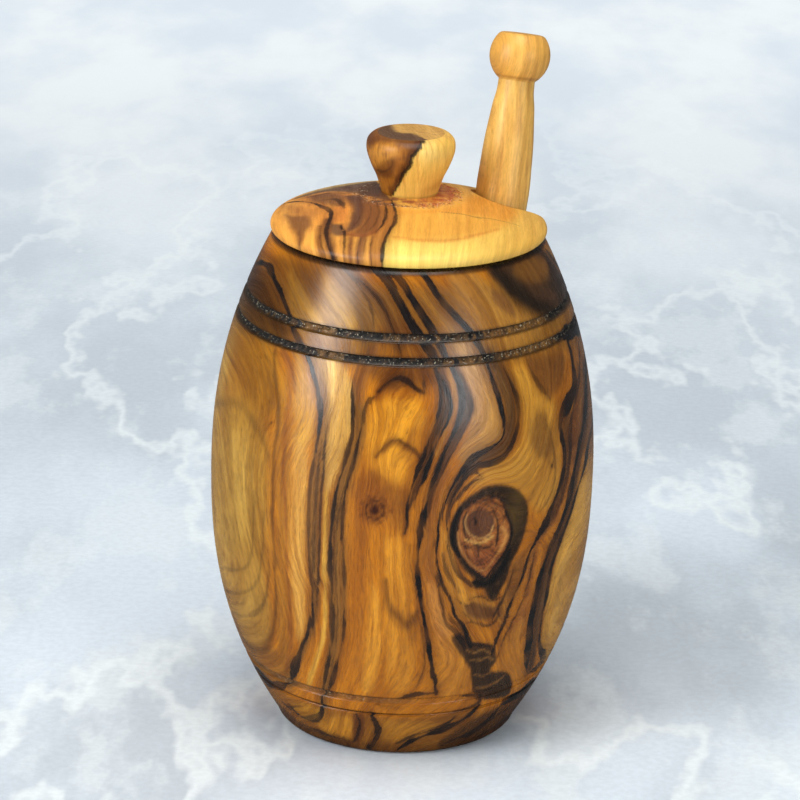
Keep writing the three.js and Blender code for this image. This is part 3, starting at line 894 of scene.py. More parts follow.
# Dark lines: strength, and points with half widths in picture points
POT_INK = (
    # The first streak's edges
    (1.0, ((256, 263, 0.8), (264, 264, 1.2), (270, 270, 1.5), (275, 281, 1.6), (282, 295, 1.7),
        (289, 312, 1.8), (293, 326, 1.8), (297, 336, 2), (303, 348, 2), (309, 360, 2), (313, 374, 2.2),
        (317, 390, 2.4), (320, 406, 2.4), (320, 420, 2.2), (318, 436, 1.6), (316, 452, 1.2))),
    (0.6, ((317, 446, 1.6), (313, 468, 1.3), (311, 484, 1.2), (310, 500, 1.2), (309, 525, 1.2),
        (309, 550, 1.2), (310, 570, 1.2), (312, 590, 1.2), (312, 606, 1.4))),
    (0.9, ((312, 596, 1.2), (312, 616, 1.4), (308, 634, 1.7), (302, 648, 2), (297, 660, 2.4),
        (293, 672, 2.8), (288, 682, 3), (278, 686, 2.4), (264, 680, 1.6), (252, 668, 1.2))),
    (0.75, ((327, 424, 1), (325, 446, 1.2), (323, 468, 1.1), (321, 490, 1.1), (320, 520, 1.1),
        (319, 550, 1), (318, 580, 1), (317, 606, 1))),
    (0.6, ((322, 440, 0.7), (319, 464, 0.8), (316, 490, 0.8), (314, 530, 0.8), (313, 560, 0.8),
        (315, 590, 0.8))),
    # The second streak's edges and inner lines
    (0.7, ((374, 397, 0.8), (369, 401, 1.4), (365, 409, 1.5), (363, 419, 1.3), (361, 430, 0.9))),
    (0.9, ((353, 380, 1.4), (352, 398, 1.5), (353, 416, 1.6), (352, 432, 1.6), (348, 448, 1.8),
        (344, 462, 1.8), (340, 476, 1.8), (336, 492, 1.8), (333, 508, 1.8), (331, 526, 1.8),
        (330, 548, 1.8), (330, 570, 1.7), (331, 592, 1.6), (332, 612, 1.6), (332, 632, 1.5),
        (330, 650, 1.5), (327, 668, 1.5), (324, 684, 1.8), (322, 698, 2.2), (322, 712, 2), (317, 718, 1.8),
        (309, 719, 1.6), (300, 716, 1.4), (290, 706, 1.2))),
    (0.85, ((361, 428, 1.6), (358, 444, 1.6), (355, 460, 1.5), (350, 476, 1.5), (346, 494, 1.5),
        (344, 512, 1.5), (343, 535, 1.5), (343, 562, 1.5), (343, 590, 1.5), (343, 612, 1.5),
        (343, 632, 1.5), (340, 652, 1.5), (336, 668, 1.5), (332, 682, 1.6), (328, 694, 1.8))),
    (0.6, ((356, 452, 0.8), (349, 476, 0.8), (342, 500, 0.8), (338, 530, 0.8), (337, 570, 0.8),
        (338, 610, 0.8), (337, 640, 0.8), (332, 668, 0.8))),
    (0.5, ((347, 470, 0.6), (339, 500, 0.6), (335, 530, 0.6), (334, 570, 0.6), (335, 610, 0.6),
        (334, 640, 0.6))),
    (0.5, ((338, 261, 0.8), (348, 272, 1), (358, 284, 1.1), (367, 299, 1.1), (372, 312, 1),
        (374, 328, 0.8))),
    (0.7, ((357, 278, 0.8), (368, 288, 1.2), (378, 298, 1.6), (386, 311, 1.8), (392, 326, 1.8),
        (398, 342, 1.6), (402, 356, 1.2))),
    # Black diagonals from under the lid into the twin streaks
    (1.0, ((375, 264, 2), (383, 274, 2.6), (391, 286, 2.8), (397, 298, 2.8), (404, 311, 3), (411, 324, 3),
        (418, 334, 2.8), (425, 347, 2.6), (432, 360, 2.4), (438, 372, 2.2), (444, 384, 2), (449, 396, 1.8),
        (451, 408, 1.8), (448, 420, 1.8), (442, 432, 1.8), (436, 446, 1.8), (430, 462, 1.8),
        (424, 478, 1.7), (417, 494, 1.5), (411, 506, 1.2))),
    (0.95, ((434, 364, 1.8), (438, 378, 2), (441, 392, 2), (441, 406, 2), (437, 420, 1.9), (431, 436, 1.8),
        (425, 452, 1.7), (419, 468, 1.6), (413, 484, 1.4), (408, 498, 1.2), (406, 512, 1), (406, 526, 1),
        (404, 534, 1.6))),
    (0.5, ((442, 376, 0.7), (447, 392, 0.8), (448, 406, 0.8), (443, 422, 0.8), (436, 438, 0.7),
        (429, 456, 0.7), (422, 474, 0.6))),
    (1.0, ((389, 264, 2.2), (396, 273, 3), (403, 283, 3.2), (410, 295, 3.2), (418, 307, 3.2),
        (426, 319, 3.2), (433, 331, 3), (439, 344, 2.8), (446, 358, 2.6), (453, 371, 2.4), (459, 384, 2.4),
        (462, 397, 2.4), (461, 410, 2.3), (457, 423, 2.2), (451, 436, 2.1), (445, 449, 2.1),
        (439, 463, 2.2), (433, 478, 2.4), (428, 494, 2.5), (424, 512, 2.5), (421, 532, 2.5),
        (419, 552, 2.4), (418, 570, 2.4), (420, 588, 2.4), (423, 606, 2.4), (426, 624, 2.4),
        (429, 642, 2.4), (431, 660, 2.4), (434, 678, 2.4), (436, 694, 2.4))),
    (0.8, ((468, 392, 1.2), (471, 404, 1.4), (468, 418, 1.4), (461, 433, 1.3), (454, 447, 1.2),
        (447, 462, 1.1), (440, 478, 1.1), (434, 496, 1), (429, 514, 1))),
    (0.55, ((409, 545, 0.7), (411, 570, 0.8), (415, 592, 0.9), (419, 618, 1), (423, 640, 1), (424, 660, 1),
        (421, 676, 1), (416, 688, 1))),
    (0.8, ((396, 699, 0.9), (404, 697, 1.3), (414, 695, 1.5), (424, 694, 1.6), (433, 693, 1.8),
        (436, 690, 1.8))),
    # The third streak's edges
    (1.0, ((419, 268, 2.2), (427, 280, 2.6), (436, 294, 2.6), (446, 306, 2.4), (457, 317, 2.4),
        (466, 328, 2.2), (474, 339, 2), (481, 351, 2), (487, 364, 1.8), (492, 378, 1.7), (497, 392, 1.6),
        (501, 407, 1.6), (504, 422, 1.6), (503, 436, 1.7), (495, 445, 1.8), (484, 451, 1.8), (474, 457, 2),
        (466, 467, 2), (457, 478, 1.8), (449, 491, 1.7), (443, 506, 1.6), (439, 524, 1.6), (437, 542, 1.5),
        (436, 558, 1.5), (438, 572, 1.5), (442, 586, 1.5), (449, 597, 1.5), (453, 606, 1.5),
        (456, 617, 1.6), (463, 626, 1.8), (467, 636, 2), (470, 646, 2.4))),
    (0.85, ((503, 364, 1.4), (510, 380, 1.6), (516, 396, 1.6), (518, 412, 1.6), (517, 428, 1.8),
        (512, 444, 2), (504, 456, 2.2), (492, 463, 2.2), (480, 465, 1.8), (471, 470, 1.4), (462, 482, 1.3),
        (455, 494, 1.2), (449, 508, 1.1))),
    (0.75, ((435, 540, 1), (436, 564, 1), (438, 582, 1.1), (440, 598, 1.2), (443, 612, 1.3),
        (446, 624, 1.5), (455, 632, 1.8), (461, 641, 2), (465, 652, 2))),
    (0.7, ((447, 612, 1), (452, 622, 1.2), (460, 628, 1.2), (466, 635, 1.2), (470, 643, 1.2),
        (480, 645, 1.4), (492, 646, 1.6))),
    (0.7, ((449, 540, 0.9), (451, 552, 1), (456, 566, 1.1), (462, 577, 1.2), (471, 584, 1.6))),
    (0.6, ((461, 624, 0.8), (475, 622, 0.9), (489, 625, 0.9), (497, 619, 0.9), (499, 610, 0.8))),
    # The arches in the amber middle
    (0.75, ((378, 392, 0.8), (385, 384, 1.2), (393, 380, 2), (400, 378, 2.6), (407, 381, 2),
        (414, 387, 1.3), (424, 394, 0.8))),
    (0.7, ((423, 376, 1.1), (424, 384, 1.2), (425, 392, 1))),
    (0.45, ((378, 454, 0.8), (385, 447, 1.1), (391, 442, 1.5), (398, 440, 1.2), (405, 444, 1.1),
        (412, 449, 1), (420, 456, 1), (424, 463, 0.8))),
    # The twin lines between the shoulder grooves
    (1.0, ((423, 338, 1.8), (428, 345, 2), (433, 352, 2.1), (436, 358, 2))),
    (0.95, ((437, 342, 1.6), (443, 350, 1.8), (447, 358, 1.8))),
    # The left side's faint lines
    (0.9, ((264, 431, 0.5), (268, 426, 0.7), (272, 422, 0.5))),
    (0.3, ((222, 566, 1), (236, 570, 1), (247, 566, 1), (252, 548, 1), (254, 520, 1), (254, 490, 0.8))),
    (0.3, ((226, 590, 1), (240, 594, 1), (254, 586, 1), (261, 566, 1), (263, 530, 1), (264, 480, 0.8))),
    (0.35, ((232, 612, 1), (246, 616, 1.2), (260, 608, 1.2), (268, 586, 1.2), (269, 550, 1))),
    # The right side's lines
    (1.0, ((560, 337, 1.4), (566, 335, 2.2), (573, 331, 2.8), (579, 326, 2.4))),
    (0.95, ((567, 338, 2.4), (571, 352, 1.8), (573, 366, 1.7), (575, 380, 2), (574, 392, 2.4),
        (570, 401, 3.6), (565, 408, 3.6), (561, 416, 2.6), (560, 430, 1.8), (563, 446, 1.7),
        (564, 460, 1.7), (562, 476, 1.9), (557, 492, 2.1), (551, 508, 2.5), (546, 522, 2.8),
        (539, 536, 2.4), (531, 550, 1.9), (526, 566, 1.8), (521, 582, 1.6), (514, 598, 1.5),
        (508, 612, 1.4), (502, 628, 1.4), (496, 642, 1.6), (492, 654, 2))),
    (0.7, ((579, 344, 1.2), (580, 368, 1.2), (577, 392, 1.2), (572, 416, 1.6), (571, 440, 1.4),
        (569, 462, 1.3), (566, 482, 1.2), (561, 500, 1.2), (554, 518, 1.4))),
    (0.7, ((535, 550, 1.1), (531, 568, 1.1), (526, 588, 1), (521, 604, 0.9), (511, 624, 0.9),
        (503, 642, 0.9), (497, 658, 1))),
    (1.0, ((587, 346, 1.6), (586, 380, 2.2), (585, 410, 2.2), (581, 436, 2), (576, 462, 2), (571, 488, 2),
        (565, 510, 2), (557, 532, 2), (549, 552, 2), (543, 570, 2), (538, 588, 2), (534, 606, 2.1),
        (531, 622, 2.2), (529, 640, 2.3), (527, 656, 2.3), (526, 672, 2.2))),
    (0.95, ((593, 380, 1.4), (593, 410, 1.6), (589, 440, 1.5), (585, 464, 1.4), (578, 488, 1.4),
        (571, 512, 1.4), (562, 536, 1.5), (555, 556, 1.6), (550, 576, 1.6), (547, 594, 1.5),
        (543.5, 612, 1.4), (541, 628, 1.3), (540, 644, 1.4), (543, 655, 2), (549, 659, 2.4))),
    (0.45, ((545, 412, 1), (550, 432, 1.2), (554, 452, 1.2), (555, 476, 1.2), (550, 496, 1.2),
        (540, 512, 1))),
    (1.0, ((552, 464, 0.5), (552, 466, 0.9), (552, 468, 0.5))),
    # Fine lines round the big knot
    (0.85, ((449, 538, 1), (447, 524, 1.4), (449, 513, 1.4), (453, 504, 1.4), (460, 495, 1.4),
        (466, 486, 1.2))),
    (0.8, ((458, 500, 1), (466, 488, 1.4), (474, 481, 1.2), (482, 478, 0.8))),
    (0.8, ((464, 480, 0.8), (470, 473, 1.4), (477, 472, 1.4), (481, 477, 1))),
    (0.8, ((447, 541, 1), (448.5, 550, 1.4), (452, 562, 1.4), (459, 574, 1.3), (468, 583, 1.2),
        (473, 588, 1))),
    (0.65, ((443, 552, 0.8), (445, 566, 1.2), (451, 580, 1.2), (459, 592, 1))),
    (0.75, ((515, 566, 0.8), (509, 586, 1.3), (500, 604, 1.3), (492, 620, 1))),
    (0.65, ((468, 600, 0.8), (480, 596, 1.2), (492, 600, 1.2), (504, 596, 1))),
    (0.65, ((462, 612, 0.8), (474, 622, 1.3), (490, 625, 1.3), (501, 614, 1))),
    (0.6, ((456, 598, 0.8), (466, 606, 1.1), (474, 602, 1))),
    # Fine lines in the brown limb and at the shoulder's right end
    (0.5, ((526, 360, 1), (534, 376, 1.2), (543, 390, 1.2), (551, 398, 1))),
    (0.9, ((541, 244, 0.9), (552, 258, 1), (561, 272, 1), (568, 286, 1))),
    # The black wedges at the ends of the foot's turned line
    (1.0, ((252, 664, 1.2), (262, 674, 1.8), (272, 683, 2), (281, 688, 1.6))),
    (1.0, ((526, 676, 2.2), (536, 668, 2.6), (546, 660, 2.2), (552, 654, 1.4))),
    (1.0, ((504, 702, 2), (515, 696, 2.8), (526, 688, 2.8), (535, 680, 1.6))),
    # The foot
    (1.0, ((371, 713, 1.6), (375, 722, 2.2), (378, 731, 2.8), (375, 740, 3.2), (369, 748, 3.4))),
    (0.75, ((355, 713, 1.6), (360, 724, 1.2), (357, 738, 1.2), (348, 746, 1))),
    (0.6, ((470, 741, 0.8), (492, 728, 1.2), (512, 712, 1.4), (528, 696, 1.4))),
    (0.7, ((440, 746, 0.8), (462, 736, 1.4), (486, 722, 1.8), (508, 708, 1.8))),
    (0.6, ((300, 722, 1), (316, 730, 1.4), (334, 737, 1.6), (350, 741, 1.2))),
    (0.6, ((376, 704, 0.8), (388, 707, 1.2), (400, 708, 0.8))),
    (0.95, ((480, 704, 1.6), (471, 713, 2.4), (461, 721, 2.6), (446, 728, 2.6), (428, 734, 2.4),
        (410, 742, 2), (398, 749, 1.6))),
    (0.8, ((458, 714, 1.4), (446, 724, 1.6), (430, 730, 1.6), (412, 736, 1.4), (396, 744, 1.2))),
    (0.85, ((500, 706, 2), (488, 720, 3), (472, 732, 3.4), (450, 740, 2.6))),
    (0.6, ((300, 706, 1), (290, 708, 1.2), (282, 702, 1))),
    # A bend between the foot band and the foot line
    (0.85, ((459, 697, 1.2), (472, 696, 1.6), (480, 699, 1.8), (476, 704, 1.6), (466, 709, 1.6),
        (452, 713, 1.4))),
)
# The big knot: its bark, and the split oval within it
KNOT_BARK = (
    (478, 491), (484, 487), (493, 485), (505, 485), (516, 489), (524, 497), (528, 508), (527, 522),
    (523, 538), (517, 552), (511, 564), (507, 578), (501, 590), (494, 601), (488, 598), (484, 589),
    (476, 589), (471, 583), (474, 579), (464, 570), (456, 556), (450, 545), (449, 532), (452, 520),
    (457, 509), (466, 499),
)
KNOT_OVAL = (
    (481, 498), (492, 497), (501, 500), (505, 509), (509, 519), (511, 530), (509, 542), (503, 556),
    (495, 569), (487, 578), (479, 574), (469, 566), (460, 554), (457, 540), (458, 527), (461, 514),
    (470, 504),
)
KNOT = (482, 522)
KNOT_HEART = (479.5, 523.5)
# Half width and half height of the heart, and the blur of the bark's and the oval's edges
HEART_SIZE = (3.7, 3.5)
BARK_BLUR = 1.2
OVAL_BLUR = 1.0
# Patches: middle in picture points, size in millimetres, tilt in degrees
OLIVE_BARK = ((517, 510), (3.0, 6.0), -12)
RED_FLESH = ((484, 560), (4, 3))
SMALL_KNOT = (375, 510)
# The big knot's tones and strengths, from its bark in to the rings of its heart
BARK = ((30, 21, 17), 0.97)
OLIVE_TONE = ((96, 74, 36), 0.8)
BARK_FLECKS = ((86, 60, 40), 0.6)
FLESH = (160, 92, 42)
PALE_FLESH = ((182, 118, 62), 0.7)
DARK_FLESH = ((84, 46, 26), 0.7)
RED_TONE = ((150, 80, 50), 0.7)
FLESH_FOLDS = ((60, 32, 22), 0.5)
FLESH_CRACKS = ((60, 34, 24), 0.4)
HEART = (104, 62, 42)
HEART_RINGS = ((74, 42, 30), 0.6)
OVAL_RIM = ((30, 20, 18), 0.9)
# Its folds, cracks and rings: how close together, how sharp, and past which reach in hearts they begin
FLESH_FOLD_PACE = 8.4
FLESH_FOLD_POWER = 6
FLESH_FOLD_REACH = 1.0
CRACK_PACE = 11
CRACK_POWER = 12
CRACK_REACH = 1.1
HEART_RING_PACE = 5.2
HEART_RING_POWER = 3
HEART_RING_MIDDLE = (-0.8, 0.2)
HEART_EDGE = 24
# Uneven fields: their scale in millimetres and their seed
KNOT_SHAKE = (0.1, (1.7, 61), (1.9, 62))
KNOT_UNEVEN = (5.0, 4)
KNOT_FINE = (2.6, 63)
SMALL_KNOT_UNEVEN = (2.0, 12)
SMALL_KNOT_SWAY = 0.15
# The small knot from its shade to its centre: tone, strength, and reach, width and steepness in millimetres
SMALL_KNOT_RINGS = (
    ((158, 90, 26), 0.75, 0, 3.6, 2),
    ((70, 34, 14), 0.85, 2.1, 0.4, 2),
    ((90, 46, 18), 0.5, 3.1, 0.35, 2),
    ((50, 16, 10), 0.97, 0, 1.5, 4),
)
# Where the growth rings close round a knot: middle, size and height
GROWTH_BUMPS = ((KNOT, (7, 11), 9.0), (SMALL_KNOT, (3, 3.4), 2.6))
# Lines with no more points than this leave the growth field as it is
SHORT_LINE = 6
# Degrees round the pot at which its figure is folded back, degrees in which it warps, and the foot's level
FOLD_TURN = 92.0
FOLD_BLEND = 45
FLAT_LEVEL = 40
# Waves by which the folded figure is warped sideways and up: size, length over a turn, and start
WARP_ASIDE = ((7, 17, 0.6), (4, 7.3, 0))
WARP_UP = ((9, 23, 2.0),)
# How the figure's edges are shaken, widely and finely: amount, and a scale and a seed for each direction
POT_SHAKES = ((0.1, (7.0, 1), (9.0, 2)), (0.07, (1.6, 3), (2.0, 4)))
# How the edges fray along the grain: its pace up the pot, and each field's amount, scale and seed
GRAIN_PACE = 0.045
FRAYS = ((0.15, 1.5, 5), (0.3, 4.0, 6))
# How softly and how strongly the tones at the outer sides begin
SIDE_BLEND = 1.5
LEVEL_BLEND = 2.5
SIDE_SHARE = 0.9
# The halo round dark lines: tone and strength
POT_HALO = ((92, 52, 20), 0.45)
KNOB_HALO = ((100, 56, 24), 0.5)
LID_HALO = ((120, 66, 30), 0.5)
# Folds, cracks and edges of the big knot
KNOT_LINES = (
    ((206, 140, 78), 0.8, 0.6, ((502, 527, 1.6), (506, 534, 2.2), (504, 543, 2.2), (499, 552, 1.8))),
    ((212, 160, 96), 0.85, 0.4, ((465, 540, 1.1), (472, 541.5, 1.5), (479, 543, 1.5), (486, 540.5, 1.4),
        (493, 536, 1))),
    ((196, 146, 96), 0.7, 0.4, ((467, 514, 0.9), (465, 523, 1), (468, 532, 1), (474, 537, 1), (482, 538, 1),
        (490, 534, 1), (493, 526, 0.9))),
    ((190, 130, 74), 0.7, 0.4, ((458, 532, 1), (459, 543, 1.1), (463, 553, 1.1), (471, 564, 1.1),
        (481, 571, 1), (489, 566, 1), (497, 554, 0.9))),
    ((34, 20, 16), 0.9, 0.3, ((467, 512, 0.8), (463.5, 520, 1), (464, 530, 1), (466, 537, 0.9),
        (470, 541, 0.6))),
    ((30, 18, 15), 0.92, 0.3, ((493, 511, 0.7), (497, 519, 1), (498, 530, 1.1), (497, 540, 1),
        (496, 546, 0.6))),
    ((60, 32, 22), 0.75, 0.4, ((466, 508, 0.7), (474, 504, 0.8), (484, 504, 0.8), (492, 508, 0.8),
        (498, 514, 0.6))),
    ((60, 32, 22), 0.65, 0.4, ((470, 500, 0.6), (480, 499.5, 0.8), (491, 501, 0.8), (500, 506, 0.6))),
    ((48, 26, 18), 0.85, 0.4, ((462, 545, 0.8), (469, 547, 1), (477, 545.5, 0.9), (485, 548, 1),
        (493, 545, 0.8))),
    ((48, 26, 18), 0.8, 0.4, ((477, 545, 0.9), (478.5, 551, 1), (478, 557, 0.7))),
    ((70, 36, 24), 0.65, 0.5, ((466, 552, 0.7), (470, 559, 0.9), (477, 565, 0.8), (486, 563, 0.8),
        (493, 556, 0.6))),
    ((22, 14, 13), 0.95, 0.3, ((505, 511, 1), (508, 518, 1.3), (511, 526, 1.3), (512, 533, 1.2),
        (510, 542, 1.2), (505, 552, 1.2), (498, 562, 1.2), (491, 571, 1.3), (485, 578, 1.3),
        (478, 574, 1.1), (469, 567, 1), (462, 558, 1), (457, 547, 1))),
    ((8, 7, 8), 0.97, 0.3, ((461, 508, 1.6), (456, 518, 2.2), (453, 529, 3), (452, 539, 3), (454, 548, 2),
        (459, 557, 1.2))),
    ((12, 9, 12), 0.9, 0.4, ((474, 582, 2), (482, 583, 3), (490, 582, 4), (498, 574, 4), (505, 562, 3),
        (510, 550, 2))),
    ((24, 14, 12), 0.9, 0.4, ((474, 518, 1), (476, 521, 1.4), (475, 524, 1))),
)


def knot_eye(at, color):
    """The big knot: a ringed heart in a split oval, and black and olive bark, thickest on its right."""
    rough = shaken(at, *KNOT_SHAKE)
    bark = area(rough, on_pot, KNOT_BARK, BARK_BLUR)
    oval = area(rough, on_pot, KNOT_OVAL, OVAL_BLUR)
    uneven = ripple(at, *KNOT_UNEVEN)
    fine = ripple(at, *KNOT_FINE)
    color = lay(color, BARK, bark)
    color = lay(color, OLIVE_TONE, bark * patch(at, on_pot, *OLIVE_BARK))
    color = lay(color, BARK_FLECKS, bark * np.clip(fine, 0, 1))
    offset = at - on_pot([KNOT_HEART])[0]
    x = offset[:, 0]
    y = offset[:, 1]
    turn = np.arctan2(y, x)
    flesh = coat(FLESH, len(at))
    flesh = lay(flesh, PALE_FLESH, np.clip(fine + 0.2 * uneven, 0, 1))
    flesh = lay(flesh, DARK_FLESH, np.clip(-fine - 0.1, 0, 1))
    flesh = lay(flesh, RED_TONE, patch(at, on_pot, *RED_FLESH))
    reach = np.hypot(x / HEART_SIZE[0], y / HEART_SIZE[1]) + 0.05 * uneven
    folds = wave(reach * FLESH_FOLD_PACE + 1.1 * fine + 0.8 * np.sin(turn))
    flesh = lay(flesh, FLESH_FOLDS, folds**FLESH_FOLD_POWER * (reach > FLESH_FOLD_REACH))
    cracks = wave(turn * CRACK_PACE + 2 * uneven)
    flesh = lay(flesh, FLESH_CRACKS, cracks**CRACK_POWER * (reach > CRACK_REACH))
    heart = rise_past((1 - reach) * HEART_EDGE)
    flesh = tint(flesh, HEART, heart)
    ring_reach = np.hypot(x - HEART_RING_MIDDLE[0], y - HEART_RING_MIDDLE[1])
    rings = wave(ring_reach * HEART_RING_PACE + 0.7 * uneven)
    flesh = lay(flesh, HEART_RINGS, rings**HEART_RING_POWER * heart)
    color = color + (flesh - color) * oval[:, None]
    rim = 4 * oval * (1 - oval)
    color = lay(color, OVAL_RIM, rim)
    color = lay_lines(color, at, on_pot, KNOT_LINES)
    return color, np.maximum(bark, oval)


def small_knot(at, color):
    """The small knot in the amber middle: a dark centre with two thin rings in a brown shade."""
    offset = at - on_pot([SMALL_KNOT])[0]
    reach = np.hypot(offset[:, 0], offset[:, 1]) * (1 + SMALL_KNOT_SWAY * ripple(at, *SMALL_KNOT_UNEVEN))
    for tone, strength, middle, width, power in SMALL_KNOT_RINGS:
        color = tint(color, tone, strength * hump(reach - middle, width, power))
    return color


def fold(places):
    """Where each place reads its figure. Behind the pot's sides it is the front's, folded back and warped."""
    turn = np.degrees(np.arctan2(places[:, 0], -places[:, 1]))
    height = places[:, 2]
    behind = np.abs(turn) > FOLD_TURN
    folded = np.where(behind, np.sign(turn) * (180 - np.abs(turn)) * FOLD_TURN / (180 - FOLD_TURN), turn)
    far = smooth((np.abs(turn) - FOLD_TURN) / FOLD_BLEND)
    _, shift = groove_depth(height)
    at = np.stack([np.radians(folded) * BELLY_RADIUS - shift, height], axis=1)
    for column, warps in enumerate((WARP_ASIDE, WARP_UP)):
        at[:, column] += far * sum(size * np.sin(height / length + start) for size, length, start in warps)
    flat = (np.hypot(places[:, 0], places[:, 1]) < FOOT_RADIUS - 0.5) & (height < FLOOR + FLOOR_FILLET)
    at[flat] = np.stack([places[flat, 0], FLAT_LEVEL + places[flat, 1]], axis=1)
    return at, far


def pot_figure(places):
    """The pot's figure: colour, growth field, depth in the dark lines and their force at each place."""
    straight, far = fold(places)
    front = 1 - far
    at = straight
    for shake in POT_SHAKES:
        at = shaken(at, *shake)
    lines = [points for _, points in POT_INK if len(points) > SHORT_LINE]
    field = growth(at, lines, on_pot, GROWTH_BUMPS)
    # The edges fray into fibres that run along the grain.
    grain = np.stack([field, GRAIN_PACE * at[:, 1]], axis=1)
    at[:, 0] += sum(amount * ripple(grain, scale, seed) for amount, scale, seed in FRAYS)
    color = lay_areas(coat(AMBER, len(at)), at, on_pot, POT_FIELDS)
    for tone, start, low, high in POT_SIDES:
        round_side = rise_past((at[:, 0] * np.sign(start) - abs(start)) / SIDE_BLEND)
        level = rise_past((at[:, 1] - low) / LEVEL_BLEND) * rise_past((high - at[:, 1]) / LEVEL_BLEND)
        color = tint(color, tone, SIDE_SHARE * round_side * level)
    color = lay_lines(color, at, on_pot, POT_BANDS)
    depth, force, halo = draw_ink(at, on_pot, POT_INK)
    color = lay(color, POT_HALO, halo)
    color = small_knot(at, color)
    eyed, eye_share = knot_eye(straight, color)
    color = color + (eyed - color) * front[:, None]
    depth = np.where(eye_share * front > 0.5, -1, depth + 0.25 * far * (depth > -1))
    return color, field, depth, force


# The lid's figure, on the left of its dark border. Tones and widths are given as for the pot.
LID_FIELDS = (
    ((100, 76, 60), 0.93, 3, ((284, 199), (300, 190), (320, 184), (345, 182), (384, 181), (392, 200),
        (372, 197), (350, 193), (325, 192), (300, 198))),
    ((192, 118, 52), 0.6, 2, ((296, 200), (320, 194), (348, 195), (352, 203), (334, 197), (316, 199))),
    ((88, 58, 46), 0.93, 2.5, ((344, 196), (364, 196), (365, 212), (361, 226), (346, 232), (350, 220),
        (352, 208))),
    ((124, 74, 38), 0.93, 3, ((362, 200), (382, 203), (386, 216), (382, 226), (373, 234), (352, 234),
        (362, 222))),
    ((92, 60, 40), 0.75, 3, ((308, 196), (326, 193), (342, 195), (346, 203), (338, 207), (324, 204),
        (310, 201))),
    ((216, 132, 54), 0.85, 1.6, ((334, 207), (345, 207), (346, 218), (339, 222), (332, 220))),
    ((104, 76, 54), 0.9, 1.6, ((330, 224), (342, 225), (345, 234), (336, 236), (331, 232))),
    ((240, 170, 70), 0.8, 1.4, ((346, 238), (378, 238), (377, 262), (346, 262))),
    ((130, 80, 40), 0.9, 2.4, ((284, 214), (294, 216), (309, 217), (311, 224), (307, 230), (303, 240),
        (301, 252), (298, 252), (297, 238), (290, 226))),
    ((150, 90, 44), 0.5, 4, ((280, 206), (300, 206), (318, 212), (310, 218), (286, 214))),
)
LID_BANDS = (
    ((130, 78, 34), 0.8, 0.8, ((320, 226, 3), (319, 240, 3.6), (322, 254, 3.6))),
    ((92, 54, 32), 0.9, 0.6, ((328, 220, 5), (327, 232, 4.6), (330, 246, 4.6), (333, 260, 4))),
    ((134, 78, 40), 0.8, 0.6, ((351, 238, 2.8), (350, 250, 2.8), (350, 264, 2.8))),
    ((116, 70, 46), 0.85, 0.6, ((363, 236, 4.6), (360, 248, 5), (358, 264, 5))),
    ((160, 98, 42), 0.7, 0.6, ((374, 234, 2), (371, 248, 2), (371, 266, 2))),
    ((142, 76, 34), 0.8, 0.7, ((345, 233.5, 3), (356, 235.5, 2.6), (368, 235, 3), (378, 230, 2.4))),
    ((170, 108, 44), 0.85, 0.6, ((389, 205, 6), (391, 216, 7), (387, 226, 7), (381, 237, 7), (378, 248, 6),
        (377, 264, 6))),
)
LID_INK = (
    (0.92, ((391, 200, 1.2), (394, 207, 1.4), (396, 214, 1.5), (395, 222, 1.4), (390, 230, 1.3),
        (386, 238, 1.3), (383, 248, 1.3), (382, 258, 1.2), (382, 270, 1.2))),
    (0.85, ((384, 202, 1), (386, 210, 1.3), (386, 217, 1.2), (382, 225, 1), (376, 232, 0.9))),
    (0.4, ((377, 203, 0.7), (379, 212, 0.8), (376, 222, 0.8), (369, 230, 0.8))),
    (0.4, ((368, 202, 0.7), (371, 210, 0.8), (368, 220, 0.8), (361, 229, 0.8))),
    (0.45, ((359, 198, 0.8), (362, 207, 0.9), (360, 217, 0.9), (354, 226, 0.8))),
    (0.9, ((280, 205, 0.9), (292, 202, 1.1), (304, 201.5, 1.2), (314, 203.5, 1.4), (322, 206.5, 1.8),
        (329, 210.5, 2.3), (331, 215, 2.7), (329, 221, 2.2), (327, 228, 1.5), (326.5, 237, 1.3),
        (329, 246, 1.2), (332, 256, 1.2), (333, 264, 1.1))),
    (0.7, ((330, 238, 0.8), (331, 247, 0.9), (334, 256, 0.8), (337, 264, 0.8))),
    (0.6, ((321, 226, 0.7), (320, 238, 0.8), (323, 250, 0.8), (325, 258, 0.7))),
    (0.88, ((340, 225, 1.2), (344, 233, 1.4), (344.5, 246, 1.2), (345, 264, 1.2))),
    (0.6, ((351, 240, 0.6), (350.5, 264, 0.7))),
    (0.75, ((372, 236, 0.7), (371, 246, 0.8), (371, 268, 0.9))),
    (0.7, ((361, 237, 0.7), (358.5, 248, 0.9), (358, 266, 0.9))),
    (0.55, ((366, 238, 0.5), (364, 250, 0.6), (363, 266, 0.6))),
    (0.6, ((300, 199, 1), (314, 196, 1.2), (330, 193, 1.2), (346, 194, 1))),
    (0.6, ((322, 200, 1.2), (334, 199, 1.6), (342, 203, 1.4), (344, 208, 1))),
    (0.4, ((318, 190, 0.8), (336, 187, 0.9), (356, 189, 0.8), (372, 196, 0.8))),
    (0.5, ((300, 226, 0.7), (300, 240, 0.9), (300, 250, 0.8))),
)
LID_CRACK = (
    (0.55, ((440, 212, 0.4), (454, 213, 0.5), (464, 214.5, 0.6), (476, 217.5, 0.7), (482, 218.5, 0.5))),
    (0.5, ((476, 217, 0.4), (488, 218.5, 0.6), (502, 221, 0.6), (514, 224, 0.5), (522, 227, 0.3))),
)
